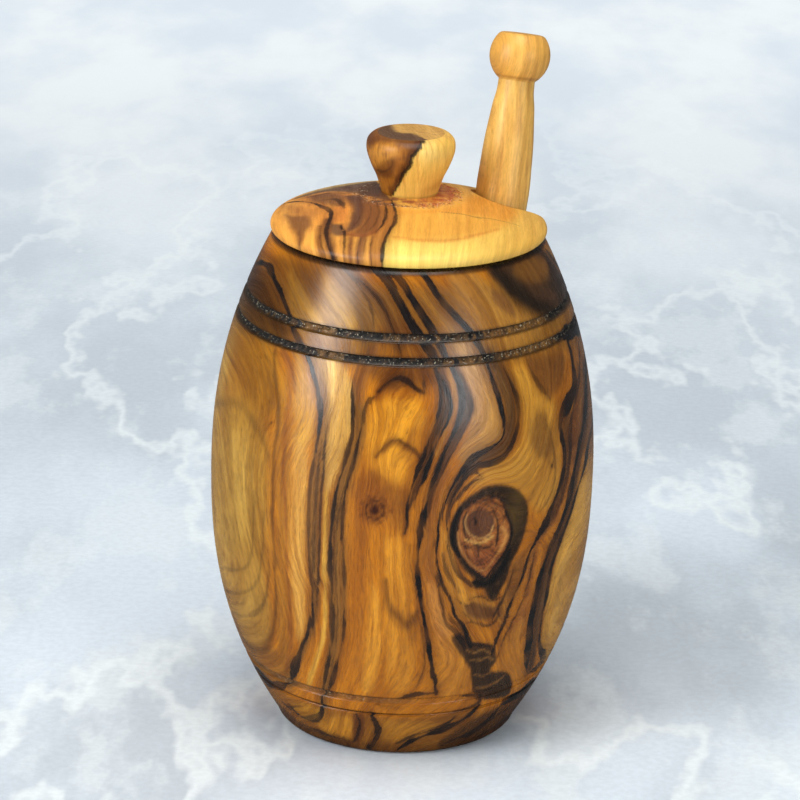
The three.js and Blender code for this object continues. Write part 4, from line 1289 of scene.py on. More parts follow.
# Warm tones on the lid's pale side
LID_WARM = (
    ((226, 146, 52), 0.75, 4, ((396, 206), (420, 210), (456, 206), (474, 196), (500, 202), (524, 208),
        (516, 222), (480, 216), (440, 213), (398, 216))),
    ((228, 158, 60), 0.6, 5, ((398, 216), (450, 216), (510, 222), (500, 232), (450, 238), (400, 236))),
)
LID_CREST_LINE = (
    ((206, 122, 44), 0.6, 0.6, ((394, 237, 2.2), (410, 239, 2.6), (428, 240.5, 2.8), (444, 240.5, 3),
        (462, 238.5, 2.8), (480, 234, 2), (498, 229, 1.2))),
)
LID_BORDER = ((392, 203), (396, 214), (395, 223), (388, 234), (383, 248), (382, 268))
# How the border goes on behind the knob: shares of its own run, and how far it bends off
LID_BORDER_BACK = ((0.35, (-4, 6)), (1.1, (-8, 14)))
CRACK_SOFTNESS = 0.2
# Where the lid's lighter edge starts, how far it blends in, and where its dark side's pale back starts. The
# lighter edge is partly paler wood and partly a painted highlight.
LID_EDGE_AND_HIGHLIGHT_START = 23.4
LID_EDGE_AND_HIGHLIGHT_BLEND = 6.4
PALE_BACK = 14
# The lid's tones and strengths: pale wood, its edge, lighter partly as a painted highlight, and its streaks,
# then the streaked wood on its left
PALE_LID = (236, 176, 74)
PALE_EDGE_AND_HIGHLIGHT = ((253, 218, 108), 0.85)
RIGHT_EDGE = ((226, 168, 70), 0.8)
PALE_STREAKS = ((214, 146, 62), 0.4)
DARK_LID = (230, 150, 58)
DARK_LID_EDGE_AND_HIGHLIGHT = ((244, 172, 74), 0.8)
DARK_LID_STREAKS = ((176, 104, 44), 0.6)
PALE_BACK_TONE = ((200, 166, 104), 0.85)
# The stained ring's tones at its left and right end
LID_RING_LEFT = (104, 70, 50)
LID_RING_RIGHT = (190, 100, 52)
# How far the stained ring round the knob reaches, and where its wood is torn
RING_REACH = 11.9
TORN_REACH = 11.2
KNOB_BORDER = (
    (420, 138), (421, 143), (419, 149), (414, 154), (411, 159), (410, 165), (405, 172), (401, 179),
    (397, 187), (393, 194),
)
KNOB_TOP_BORDER = (
    (392, 125.5), (395, 130.5), (402, 133), (412, 133.3), (421, 137),
)
KNOB_FIELDS = (
    ((206, 140, 50), 0.9, 3, ((371, 147), (386, 143), (396, 147), (400, 156), (392, 160), (384, 166),
        (374, 165), (369, 155))),
    ((92, 54, 34), 0.92, 3, ((366, 138), (376, 130), (392, 130), (408, 132), (422, 136), (420, 148),
        (408, 148), (398, 143), (380, 141), (370, 147))),
    ((104, 58, 22), 0.8, 3, ((372, 168), (382, 171), (390, 168), (396, 158), (400, 162), (394, 174),
        (386, 178), (376, 175))),
    ((196, 124, 46), 0.7, 3, ((398, 156), (408, 152), (406, 166), (398, 178), (392, 172))),
    ((110, 62, 24), 0.6, 2.4, ((380, 162), (394, 160), (396, 170), (388, 178), (378, 172))),
    ((178, 112, 36), 0.7, 3, ((378, 178), (394, 180), (392, 194), (380, 192))),
)
KNOB_INK = (
    (0.6, ((374, 168, 1), (380, 171, 1.4), (386, 171, 1.5), (391, 167, 1.4), (393, 160, 1))),
)
# The knob's tones and strengths: pale wood on its right, dark on its left, and the end grain on its top
PALE_KNOB = (252, 202, 98)
KNOB_GLEAM_TONE = ((255, 216, 120), 0.8)
PALE_KNOB_STREAKS = ((204, 132, 48), 0.5)
KNOB_SHADE_TONE = ((206, 138, 54), 0.6)
DARK_KNOB = (170, 106, 30)
DARK_KNOB_STREAKS = ((112, 64, 24), 0.5)
BORDER_SHADE = ((82, 42, 18), 0.85)
END_GRAIN = (214, 164, 84)
END_GRAIN_STREAKS = ((180, 126, 62), 0.6)
DARK_END_GRAIN = ((92, 62, 46), 0.93)
# The border line's half width in millimetres, how much it varies, and how much it swells near the top
BORDER_HALF_WIDTH = 0.3
BORDER_SWAY = 0.12
BORDER_SWELL = 0.2
BORDER_FORCE = 0.9
KNOB_GLEAM = ((430, 148), (2.4, 4))
KNOB_SHADE = ((436, 186), (6, 1.6), 8)


def knob_top_plan(points):
    """Places on the knob's flat top under picture points."""
    return cast(points, lambda r, z: z - KNOB_TOP)[:, :2]


def side_of(at, line):
    """The signed distance of each place from a line, above 0 on the left of its run."""
    distance, side, _ = nearest_on(line, at)
    return distance * np.sign(side)


def knob_figure(places):
    """The knob's figure: dark heartwood on its left, divided from the pale wood by a black line."""
    at = shaken(knob_skin(places), 0.1, (1.5, 21), (1.8, 22))
    border = spline(on_knob(KNOB_BORDER), 5)
    gap = side_of(at, border)
    # Behind the knob the border comes back round, so that the dark wood is one wedge.
    dark = (gap < 0) & (at[:, 0] > -KNOB_WEDGE_REACH)
    color = coat(PALE_KNOB, len(at))
    color = lay(color, KNOB_GLEAM_TONE, patch(at, on_knob, *KNOB_GLEAM))
    color = lay(color, PALE_KNOB_STREAKS, np.clip(ripple(at * (1, 0.12), 1.6, 23) - 0.2, 0, 1))
    color = lay(color, KNOB_SHADE_TONE, patch(at, on_knob, *KNOB_SHADE))
    heart = lay_areas(coat(DARK_KNOB, len(at)), at, on_knob, KNOB_FIELDS)
    heart = lay(heart, DARK_KNOB_STREAKS, np.clip(ripple(at * (1, 0.3), 1.6, 25), 0, 1))
    depth, force, halo = draw_ink(at, on_knob, KNOB_INK)
    heart = lay(heart, KNOB_HALO, halo)
    color = np.where(dark[:, None], heart, color)
    swell = BORDER_SWELL * hump(at[:, 1] - KNOB_TOP + 6, 2.5)
    thick = BORDER_HALF_WIDTH + BORDER_SWAY * ripple(at, 1.6, 27) + swell
    edge = thick - np.abs(gap)
    color = lay(color, BORDER_SHADE, hump(gap + 0.7, 1.0))
    force = np.where(edge > depth, BORDER_FORCE, force)
    depth = np.maximum(depth, edge)
    flat = places[:, 2] > KNOB_TOP - 0.02
    plan = shaken(places[:, :2], 0.15, (1.5, 28), (1.8, 29))
    offset = side_of(plan, spline(knob_top_plan(KNOB_TOP_BORDER), 5))
    end_grain = coat(END_GRAIN, len(at))
    end_grain = lay(end_grain, END_GRAIN_STREAKS, np.clip(ripple(places * (0.4, 1, 1), 1.6, 30), 0, 1))
    end_grain = lay(end_grain, DARK_END_GRAIN, rise_past(-offset * 4))
    color[flat] = end_grain[flat]
    depth[flat] = -1
    return color, depth, force


def lid_figure(places):
    """The lid's figure: streaked orange wood on the left, pale wood on the right, and a dark line between."""
    plan = lid_plan(places)
    under = places[:, 2] < SEAT + 0.1
    plan[under] = places[under, :2]
    at = shaken(plan, 0.1, (5.0, 31), (6.0, 32))
    at = shaken(at, 0.08, (1.5, 33), (1.7, 34), plan)
    border = spline(on_lid(LID_BORDER), 5)
    # The border goes on straight behind the knob.
    way = border[0] - border[-1]
    border = np.vstack([border[::-1], *[border[0] + way * share + bend for share, bend in LID_BORDER_BACK]])
    gap = side_of(at, border)
    reach = np.hypot(plan[:, 0], plan[:, 1])
    # The lighter edge: partly paler wood, partly a painted highlight
    edge = smooth((reach - LID_EDGE_AND_HIGHLIGHT_START) / LID_EDGE_AND_HIGHLIGHT_BLEND)
    color = lay_areas(coat(PALE_LID, len(at)), at, on_lid, LID_WARM)
    color = lay(color, PALE_EDGE_AND_HIGHLIGHT, edge)
    color = lay(color, RIGHT_EDGE, edge * np.clip((plan[:, 0] - 10) / 16, 0, 1))
    streaks = np.clip(ripple(at * (1, 0.14), 3.0, 35), 0, 1)
    color = lay(color, PALE_STREAKS, streaks * (1 - 0.5 * edge))
    color = lay_lines(color, at, on_lid, LID_CREST_LINE)
    heart = coat(DARK_LID, len(at))
    heart = lay(heart, DARK_LID_EDGE_AND_HIGHLIGHT, edge)
    streaks = np.clip(ripple(at * (1, 0.2), 2.4, 36), 0, 1)
    heart = lay(heart, DARK_LID_STREAKS, streaks * (1 - 0.4 * edge))
    heart = lay_areas(heart, at, on_lid, LID_FIELDS)
    heart = lay_lines(heart, at, on_lid, LID_BANDS)
    heart = lay(heart, PALE_BACK_TONE, rise_past((plan[:, 1] - PALE_BACK) * 1.2))
    color = np.where((gap > 0)[:, None], heart, color)
    depth, force, halo = draw_ink(at, on_lid, LID_INK)
    color = lay(color, LID_HALO, halo)
    for strength, points in LID_CRACK:
        color = tint(color, INK, strength * Streak(points, CRACK_SOFTNESS).cover(at, on_lid))
    # The stained and torn ring round the knob's foot, redder on its right
    uneven = 0.7 * ripple(plan, 5.0, 37) + 0.15 * ripple(plan, 2.0, 38)
    ring = rise_past((RING_REACH - reach + uneven) * 2.4)
    right = np.clip(0.5 + plan[:, 0] / 14, 0, 1)[:, None]
    ring_tone = linear(*LID_RING_LEFT) * (1 - right) + linear(*LID_RING_RIGHT) * right
    stained = np.clip(0.45 + 0.3 * right[:, 0] + 0.5 * ripple(plan, 3.4, 39), 0, 1)
    color = color + (ring_tone - color) * (stained * ring)[:, None]
    torn = hump(reach - TORN_REACH - uneven, 1.3, 4) * np.clip(0.9 + 0.5 * ripple(plan, 3.0, 40), 0, 1)
    return color, plan[:, 0] - 0.25 * gap, torn, depth, force


def lid_profile():
    spigot_bottom = SEAT - SPIGOT_DEPTH
    edge_middle = (LID_RADIUS - LID_EDGE_ROUNDING, SEAT + LID_EDGE_HEIGHT)
    under = bow(edge_middle, (LID_EDGE_ROUNDING, LID_EDGE_HEIGHT), -90, 0, 8)
    rim = SPIGOT_RADIUS - SPIGOT_CHAMFER
    disc = [(radius, KNOB_TOP) for radius in np.linspace(KNOB_TOP_RADIUS, 0, KNOB_TOP_RINGS)[1:]]
    slope = spline(LID_TOP[LID_EDGE_POINTS:], 2)
    return np.vstack([
        [(0, spigot_bottom), (rim / 2, spigot_bottom), (rim, spigot_bottom)],
        [(SPIGOT_RADIUS, spigot_bottom + SPIGOT_CHAMFER), (SPIGOT_RADIUS, SEAT)],
        under[:-1], LID_TOP[:LID_EDGE_POINTS], slope[1:-1], KNOB_SIDE, disc,
    ])


def dipper_matrix():
    """Turns and moves the dipper from standing on its axis to its place in the pot."""
    lean = math.radians(DIPPER_LEAN)
    turn = math.radians(DIPPER_LEAN_TURN)
    way = Vector((math.sin(lean) * math.cos(turn), math.sin(lean) * math.sin(turn), math.cos(lean)))
    notch = math.radians(NOTCH_TURN)
    place = Vector((NOTCH_REACH * math.cos(notch), NOTCH_REACH * math.sin(notch), POT_HEIGHT))
    return Matrix.Translation(place) @ Vector((0, 0, 1)).rotation_difference(way).to_matrix().to_4x4()


def notch_cutter():
    """The U-shaped prism that cuts the lid's notch, leaning as the dipper does."""
    arc = np.radians(np.linspace(90, 270, 49))
    outline = [(NOTCH_RADIUS * math.cos(a), NOTCH_RADIUS * math.sin(a)) for a in arc]
    outline += [(LID_RADIUS, -NOTCH_RADIUS), (LID_RADIUS, NOTCH_RADIUS)]
    turn = math.radians(NOTCH_TURN)
    flat = np.array(outline) @ np.array([[math.cos(turn), math.sin(turn)], [-math.sin(turn), math.cos(turn)]])
    place = dipper_matrix()
    count = len(flat)
    places = [place @ Vector((x, y, height)) for height in NOTCH_SPAN for x, y in flat]
    faces = [[i, (i + 1) % count, count + (i + 1) % count, count + i] for i in range(count)]
    faces += [list(range(count))[::-1], list(range(count, 2 * count))]
    return make_mesh("notch_cutter", np.array(places), faces)


def cut_lid(mesh):
    """The lid's mesh with its notch cut."""
    blank = bpy.data.objects.new("lid_blank", mesh)
    cutter = bpy.data.objects.new("notch_cutter", notch_cutter())
    for piece in (blank, cutter):
        bpy.context.scene.collection.objects.link(piece)
    cut = blank.modifiers.new("notch", "BOOLEAN")
    cut.operation = "DIFFERENCE"
    cut.solver = "EXACT"
    cut.object = cutter
    bpy.context.view_layer.update()
    made = bpy.data.meshes.new_from_object(blank.evaluated_get(bpy.context.evaluated_depsgraph_get()))
    for piece in (blank, cutter):
        bpy.data.objects.remove(piece)
    made.set_sharp_from_angle(angle=math.radians(LID_SHARP_ANGLE))
    return made


def dipper_reach():
    lean = math.radians(DIPPER_LEAN)
    drop = math.hypot(TIP_RADIUS * math.sin(lean), TIP_HEIGHT * math.cos(lean))
    return (POT_HEIGHT - FLOOR - TIP_CLEARANCE - drop) / math.cos(lean) + TIP_HEIGHT


def dipper_profile():
    """The dipper's outline from its tip to the top of its knob, along its own axis."""
    bottom = -dipper_reach()
    span = HEAD_LENGTH - TIP_HEIGHT
    head_bottom = bottom + TIP_HEIGHT
    head_top = bottom + HEAD_LENGTH
    rib = (span - HEAD_GROOVES * HEAD_GROOVE) / (HEAD_GROOVES + 1)
    rounding = rib * RIB_ROUNDING_SHARE
    tip = bow((0, head_bottom), (TIP_RADIUS, TIP_HEIGHT), -90, 0, 8)
    head = []
    for i in range(HEAD_GROOVES + 1):
        start = i * (rib + HEAD_GROOVE)
        whole = rib / rounding
        along = np.concatenate([[0, 0.3, 1], np.linspace(1, whole - 1, 5), [whole - 0.3, whole]]) * rounding
        inset = np.array([1, 0.3, 0, 0, 0, 0, 0, 0, 0.3, 1]) * rounding
        reach = HEAD_RADIUS * np.sqrt(1 - (HEAD_END_SHARE * (2 * (start + along) / span - 1)) ** 2)
        if i > 0:
            head += [(HEAD_CORE_RADIUS, head_bottom + start)]
        head += list(zip(reach - inset, head_bottom + start + along))
        if i < HEAD_GROOVES:
            head += [(HEAD_CORE_RADIUS, head_bottom + start + rib)]
    knob_bottom = DIPPER_STAND - DIPPER_KNOB_LENGTH
    handle = [(HANDLE_RADIUS * out, knob_bottom * (1 - down)) for down, out in HANDLE_SHARES][::-1]
    stick = spline([(SHAFT_RADIUS, head_top), (SHAFT_RADIUS, head_top * PLAIN_SHAFT_SHARE), *handle,
                    (DIPPER_NECK_RADIUS, knob_bottom)], 12)
    middle = knob_bottom + DIPPER_KNOB_LENGTH / 2
    edge_turn = math.acos(DIPPER_KNOB_EDGE_RADIUS / DIPPER_KNOB_RADIUS)
    neck_turn = math.acos(DIPPER_NECK_RADIUS / DIPPER_KNOB_RADIUS)
    rise = (DIPPER_KNOB_LENGTH / 2 - DIPPER_KNOB_EDGE_HEIGHT) / math.sin(edge_turn)
    knob = bow((0, middle), (DIPPER_KNOB_RADIUS, rise), -math.degrees(neck_turn), math.degrees(edge_turn), 26)
    inward = DIPPER_KNOB_EDGE_HEIGHT * DIPPER_KNOB_RADIUS * math.tan(edge_turn) / rise
    start = np.array([DIPPER_KNOB_EDGE_RADIUS, DIPPER_STAND - DIPPER_KNOB_EDGE_HEIGHT])
    corner = np.array([DIPPER_KNOB_EDGE_RADIUS - inward, DIPPER_STAND])
    end = np.array([DIPPER_KNOB_TOP_RADIUS, DIPPER_STAND])
    t = np.linspace(0, 1, 9)[1:, None]
    edge = start * (1 - t) ** 2 + 2 * corner * t * (1 - t) + end * t**2
    disc = [(radius, DIPPER_STAND) for radius in np.linspace(DIPPER_KNOB_TOP_RADIUS, 0, 8)[1:]]
    return np.vstack([tip, head, stick[:-1], knob, edge, disc])


# Materials

class Nodes:
    """Short calls for building one material's nodes."""

    def __init__(self, name):
        self.material = bpy.data.materials.new(name)
        self.material.use_nodes = True
        self.tree = self.material.node_tree
        self.tree.nodes.clear()

    def add(self, kind, settings=None, **inputs):
        node = self.tree.nodes.new(kind)
        for key, value in (settings or {}).items():
            setattr(node, key, value)
        for key, value in inputs.items():
            socket = node.inputs[int(key[1:])] if key[1:].isdigit() else node.inputs[key.replace("_", " ")]
            self.put(socket, value)
        return node

    def put(self, socket, value):
        if isinstance(value, bpy.types.NodeSocket):
            self.tree.links.new(value, socket)
        else:
            socket.default_value = value

    def attribute(self, name, output="Fac"):
        return self.add("ShaderNodeAttribute", {"attribute_name": name}).outputs[output]

    def math(self, operation, a, b=0.0):
        return self.add("ShaderNodeMath", {"operation": operation}, i0=a, i1=b).outputs[0]

    def noise(self, vector, scale, detail=3.0, roughness=0.6):
        node = self.add("ShaderNodeTexNoise", None, Vector=vector, Scale=scale, Detail=detail,
                        Roughness=roughness)
        return node.outputs["Fac"]

    def span(self, value, low, high, to_low=0.0, to_high=1.0):
        node = self.add("ShaderNodeMapRange", {"interpolation_type": "SMOOTHSTEP"}, i0=value, i1=low, i2=high,
                        i3=to_low, i4=to_high)
        return node.outputs[0]

    def mix(self, share, a, b, blend="MIX"):
        node = self.add("ShaderNodeMix", {"data_type": "RGBA", "blend_type": blend}, i0=share)
        self.put(node.inputs[6], a)
        self.put(node.inputs[7], b)
        return node.outputs[2]

    def multiply(self, a, b, share=1.0):
        return self.mix(share, a, b, "MULTIPLY")

    def gray(self, value):
        return self.add("ShaderNodeCombineColor", None, Red=value, Green=value, Blue=value).outputs[0]

    def finish(self, color, roughness, bump, gloss):
        shader = self.add("ShaderNodeBsdfPrincipled", None, Base_Color=color, Roughness=roughness,
                          Normal=bump)
        shader.inputs["Specular IOR Level"].default_value = gloss
        output = self.add("ShaderNodeOutputMaterial")
        self.tree.links.new(shader.outputs[0], output.inputs[0])
        return self.material


def rgba(color, scale=1.0):
    return (*(np.asarray(color) * scale), 1.0)


# The grain's noises: stretch along the rise, seed, scale, detail and roughness
GRAIN_NOISES = {
    "wide": (0.05, 0.0, 0.3, 3.0, 0.55),
    "broad": (0.07, 3.0, 0.55, 4.0, 0.62),
    "fine": (0.14, 5.0, 1.9, 4.0, 0.6),
    "pores": (0.13, 9.0, 4.2, 2.0, 0.5),
}
# Where a noise goes from the dark tint to the pale one, and how strong these are in red, green and blue
SHADE_RANGES = (("wide", 0.35, 0.62), ("broad", 0.32, 0.66))
DARK_CONTRAST = np.array([1, 1.35, 1.9])
PALE_CONTRAST = np.array([0.5, 0.55, 0.6])
FINE_RANGE = (0.3, 0.7)
FINE_CONTRAST = 0.5
PORE_RANGE = (0.57, 0.7)
PORE_CONTRAST = 1.3
# Thin rings lie where a noise passes a level
RING_LEVELS = (("broad", 0.44), ("broad", 0.55), ("wide", 0.5))
RING_WIDTH = 0.016
RING_TINT = (0.55, 0.42, 0.3)
# How far fibres fray a dark line, and over which depth its edge darkens, in millimetres
FRINGE = 1.1
INK_EDGE = (-0.22, 0.2)
# Torn wood: the speckle's scale, detail and roughness, and where it is dust and where pits
SPECKLE_NOISE = (2100.0, 2.0, 0.6)
DUST = (228, 216, 186)
DUST_RANGE = (0.61, 0.68)
PIT_RANGE = (0.36, 0.47)
SPECKLE_SHARE = 0.85
TORN_ROUGHNESS = 0.62
# Shares of the bump's height, and its depth in metres
FINE_RELIEF = 0.5
PORE_RELIEF = 0.35
TORN_RELIEF = 6.0
BUMP_STRENGTH = 0.35
BUMP_DEPTH = 0.00012


def wood(name, contrast, grain_width, ring_share, gloss=0.35, rough=(0.34, 0.46)):
    """Oiled wood: the drawn figure, with rings, fibres and dark lines that follow the growth field."""
    n = Nodes(name)
    color = n.attribute("figure", "Color")
    growth_field = n.attribute("growth")
    rise = n.attribute("rise")
    torn = n.attribute("torn")
    grain = {}
    for kind, (stretch, seed, scale, detail, roughness) in GRAIN_NOISES.items():
        lift = n.math("MULTIPLY", rise, stretch)
        place = n.add("ShaderNodeCombineXYZ", None, X=growth_field, Y=lift, Z=seed).outputs[0]
        grain[kind] = n.noise(place, scale / grain_width, detail, roughness)
    fine = grain["fine"]
    pores = grain["pores"]
    dark = rgba(1 - contrast * DARK_CONTRAST)
    pale = rgba(1 + contrast * PALE_CONTRAST)
    for kind, low, high in SHADE_RANGES:
        color = n.multiply(color, n.mix(n.span(grain[kind], low, high), dark, pale))
    shade = n.span(fine, *FINE_RANGE, 1 - contrast, 1 + FINE_CONTRAST * contrast)
    shade = n.math("MULTIPLY", shade, n.span(pores, *PORE_RANGE, 1.0, 1 - PORE_CONTRAST * contrast))
    color = n.multiply(color, n.gray(shade))
    for kind, level in RING_LEVELS:
        off = n.math("ABSOLUTE", n.math("SUBTRACT", grain[kind], level))
        color = n.multiply(color, rgba(RING_TINT), n.span(off, 0.0, RING_WIDTH, ring_share, 0.0))
    fringe = n.math("MULTIPLY", n.math("SUBTRACT", fine, 0.5), FRINGE)
    ink = n.span(n.math("ADD", n.attribute("ink"), fringe), *INK_EDGE)
    color = n.mix(n.math("MULTIPLY", ink, n.attribute("force")), color, rgba(linear(*INK)))
    place = n.add("ShaderNodeTexCoord").outputs["Object"]
    speckle = n.noise(place, *SPECKLE_NOISE)
    dust = n.span(speckle, *DUST_RANGE)
    pit = n.span(speckle, *PIT_RANGE, 1.0, 0.0)
    rough_color = n.mix(n.math("MULTIPLY", pit, SPECKLE_SHARE), color, rgba(linear(*INK), 0.5))
    rough_color = n.mix(n.math("MULTIPLY", dust, SPECKLE_SHARE), rough_color, rgba(linear(*DUST)))
    color = n.mix(torn, color, rough_color)
    surface = n.math("ADD", n.math("MULTIPLY", fine, FINE_RELIEF), n.math("MULTIPLY", pores, -PORE_RELIEF))
    tears = n.math("MULTIPLY", n.math("MULTIPLY", speckle, torn), TORN_RELIEF)
    height = n.math("ADD", surface, tears)
    bump = n.add("ShaderNodeBump", None, Strength=BUMP_STRENGTH, Distance=BUMP_DEPTH, Height=height)
    sheen = n.span(fine, *FINE_RANGE, rough[1], rough[0])
    roughness = n.math("ADD", sheen, n.math("MULTIPLY", torn, TORN_ROUGHNESS))
    return n.finish(color, roughness, bump.outputs[0], gloss)


# How dark the floors of the two shoulder grooves are, by degrees round the pot from its front
COLLAR_DARK_SHARES = (
    ((-180, 0.7), (-78, 0.95), (-46, 0.85), (-39, 0.35), (-29, 0.35), (-23, 0.85), (-11, 0.9), (-4, 0.6),
        (1, 0.7), (11, 0.5), (21, 0.75), (28, 0.3), (56, 0.25), (63, 0.95), (86, 1), (180, 0.7)),
    ((-180, 0.7), (-80, 1), (-37, 0.95), (-30, 0.5), (-24, 0.4), (-19, 0.9), (-4, 0.95), (11, 0.7),
        (17, 0.4), (24, 0.5), (29, 0.9), (33, 0.4), (58, 0.25), (64, 1), (84, 1), (180, 0.7)),
)


# A groove's painted shade at its edges, black under its upper lip and dark in its lower corner: tone,
# strength, and place and width as shares of the groove's half width
GROOVE_EDGE_SHADES = (
    ((10, 8, 8), 0.97, 0.8, 0.3),
    ((20, 15, 12), 0.75, -0.86, 0.24),
)
# The floors of the shoulder grooves, pale and dark, and of the foot's band: tone and strength
PALE_FLOOR = ((150, 104, 44), 0.8)
DARK_FLOOR = (20, 16, 14)
BAND_FLOOR = ((96, 66, 36), 0.5)
# How deep under the barrel's surface still counts as its outside
OUTER_SKIN = 1.2
# The painted shade under the lid and at the foot's bottom edge, where it meets the floor: tone and strength,
# how far they reach, and how steeply they end
LID_SHADE = ((12, 9, 8), 0.96)
LID_SHADE_REACH = 1.1
LID_SHADE_EDGE = 9
FOOT_CONTACT_SHADE = ((70, 42, 18), 0.75)
FOOT_CONTACT_SHADE_REACH = 2.6
FOOT_CONTACT_SHADE_EDGE = 1.6
KNOB_FOOT_SHADE = (INK, 0.5)
# The dipper's tones and strengths, and the painted shade at its neck under the knob
DIPPER_WOOD = (232, 180, 90)
DIPPER_STREAKS = ((196, 136, 60), 0.65)
DIPPER_PALE_STREAKS = ((244, 200, 112), 0.5)
DIPPER_KNOB_TONE = ((232, 168, 74), 0.6)
DIPPER_NECK_SHADE = ((150, 90, 40), 0.6)


def shade_grooves(places, color):
    """The turned lines' rough dark floors, and painted shade at their edges and in the narrow foot line.
    Gives the colours and how torn each place is.
    """
    height = places[:, 2]
    turn = np.degrees(np.arctan2(places[:, 0], -places[:, 1]))
    torn = np.zeros(len(places))
    blotch = ripple(skin(places), 3.0, 41)
    for (middle, width, _, _), shares in zip(COLLAR_LINES, COLLAR_DARK_SHARES):
        side = (height - middle) * 2 / width
        floor = hump(side, 0.9, 8)
        dark = np.interp(turn, *zip(*shares)) + 0.25 * blotch
        color = lay(color, PALE_FLOOR, floor)
        color = tint(color, DARK_FLOOR, np.clip(1.15 * dark, 0, 1) * floor)
        torn = np.maximum(torn, (0.7 + 0.3 * blotch) * hump(side - 0.05, 0.72, 4))
        # Painted shade under the groove's upper lip and in its lower corner
        for tone, strength, place, spread in GROOVE_EDGE_SHADES:
            color = tint(color, tone, strength * hump(side - place, spread))
    side = (height - FOOT_BAND[0]) * 2 / FOOT_BAND[1]
    left = rise_past((1 - places[:, 0]) / 3)
    color = lay(color, BAND_FLOOR, left * hump(side, 0.9, 8))
    torn = np.maximum(torn, 0.45 * left * hump(side - 0.1, 0.7, 4))
    # Painted shade under the foot band's upper lip, stronger on the left
    color = tint(color, GROOVE_SHADE_BLACK, (0.4 + 0.5 * left) * hump(side - 0.86, 0.2))
    side = (height - FOOT_LINE[0]) * 2 / FOOT_LINE[1]
    # The narrow foot line, darkened all across as painted shade, stronger on the left
    color = tint(color, GROOVE_SHADE_BLACK, (0.5 + 0.4 * left) * hump(side, 0.5))
    return color, torn


def build_pot():
    places, faces = lay_turned(pot_profile(), pot_turns())
    mesh = make_mesh("pot_body_wood", places, faces)
    places = places_of(mesh)
    color, field, depth, force = pot_figure(places)
    height = places[:, 2]
    outside = np.hypot(places[:, 0], places[:, 1]) > barrel(np.clip(height, 0, POT_HEIGHT)) - OUTER_SKIN
    grooved, torn = shade_grooves(places, color)
    color = np.where(outside[:, None], grooved, color)
    # The painted shade under the lid, and the painted shade at the foot's bottom edge
    under_lid = rise_past((height - POT_HEIGHT + LID_SHADE_REACH) * LID_SHADE_EDGE)
    color = lay(color, LID_SHADE, outside * under_lid)
    color = lay(color, FOOT_CONTACT_SHADE, outside * rise_past((FOOT_CONTACT_SHADE_REACH - height) * FOOT_CONTACT_SHADE_EDGE))
    depth = np.where(outside, depth, -1)
    keep(mesh, figure=color * WARMTH, ink=depth, force=force, growth=field, rise=height,
         torn=np.clip(torn * outside, 0, 1))
    material = wood("pot_olive_wood", contrast=0.18, grain_width=1.0, ring_share=0.45, gloss=0.5,
                    rough=(0.22, 0.32))
    show("pot_body_wood", mesh, "pot", "pot_body", material)


def build_lid():
    places, faces = lay_turned(lid_profile(), pot_turns())
    mesh = cut_lid(make_mesh("lid_wood", places, faces))
    places = places_of(mesh)
    color, field, torn, depth, force = lid_figure(places)
    height = places[:, 2]
    knob_foot = SEAT + KNOB_FOOT[1]
    knob = (height > knob_foot - 0.01) & (np.hypot(places[:, 0], places[:, 1]) < KNOB_RADIUS + 0.1)
    color[knob], depth[knob], force[knob] = knob_figure(places[knob])
    top = height > KNOB_TOP - 0.02
    torn[knob] = 0
    torn[top] = 0.2
    field[top] = places[top, 0] + 0.3 * places[top, 1]
    color = lay(color, KNOB_FOOT_SHADE, hump(height - knob_foot - 0.15, 0.22) * knob)
    rise = np.where(knob & ~top, height, places[:, 1])
    keep(mesh, figure=color, ink=depth, force=force, growth=field, rise=rise, torn=np.clip(torn, 0, 1))
    material = wood("lid_olive_wood", contrast=0.09, grain_width=0.9, ring_share=0.12)
    show("lid_wood", mesh, "lid", "lid", material)


def build_dipper():
    turns = np.linspace(0, 2 * math.pi, DIPPER_TURNS, endpoint=False)
    places, faces = lay_turned(dipper_profile(), turns)
    across = places[:, 0] + 0.35 * places[:, 1]
    along = places[:, 2]
    place = dipper_matrix()
    mesh = make_mesh("dipper_wood", np.array([place @ Vector(p) for p in places]), faces)
    mesh.set_sharp_from_angle(angle=math.radians(DIPPER_SHARP_ANGLE))
    at = np.stack([across, along * 0.12], axis=1)
    color = coat(DIPPER_WOOD, len(places))
    color = lay(color, DIPPER_STREAKS, np.clip(ripple(at, 3.0, 51) + 0.1, 0, 1))
    color = lay(color, DIPPER_PALE_STREAKS, np.clip(ripple(at, 4.0, 52), 0, 1))
    knob_bottom = DIPPER_STAND - DIPPER_KNOB_LENGTH
    color = lay(color, DIPPER_KNOB_TONE, along > knob_bottom)
    # Painted shade at the neck, under the knob's rim
    color = lay(color, DIPPER_NECK_SHADE, hump(along - knob_bottom, 0.35))
    none = np.zeros(len(places))
    keep(mesh, figure=color, ink=none - 1, force=none, growth=across, rise=along, torn=none)
    material = wood("dipper_olive_wood", contrast=0.12, grain_width=0.8, ring_share=0.15)
    show("dipper_wood", mesh, "dipper", "dipper", material)


# Floor, backdrop, lights and camera

# The light from all round, and how much of it and of the floor the wood's gloss reflects
SKY_STRENGTH = 0.4
REFLECTED_SHARE = 0.2
SKY_COLOR = (0.9, 0.95, 1.0, 1.0)
# Lamps: place and size in metres, power and colour
LAMP_AIM = (0, 0, 0.08)
LAMPS = (
    ("window", (-0.93, -0.62, 0.55), (0.45, 0.9), 10.5, (0.97, 0.98, 1.0)),
    ("fill", (0.75, -1.0, 0.35), (0.5, 0.5), 4.0, (0.98, 0.99, 1.0)),
    ("top", (0.05, -0.25, 1.2), (0.8, 0.8), 8.5, (1.0, 0.99, 0.96)),
)
# The backdrop in metres: half its width and depth, where it bends up, the bend's radius and the wall's top
BACKDROP_HALF = 1.6
BEND_START = 0.9
BEND_RADIUS = 0.5
WALL_TOP = 2.4
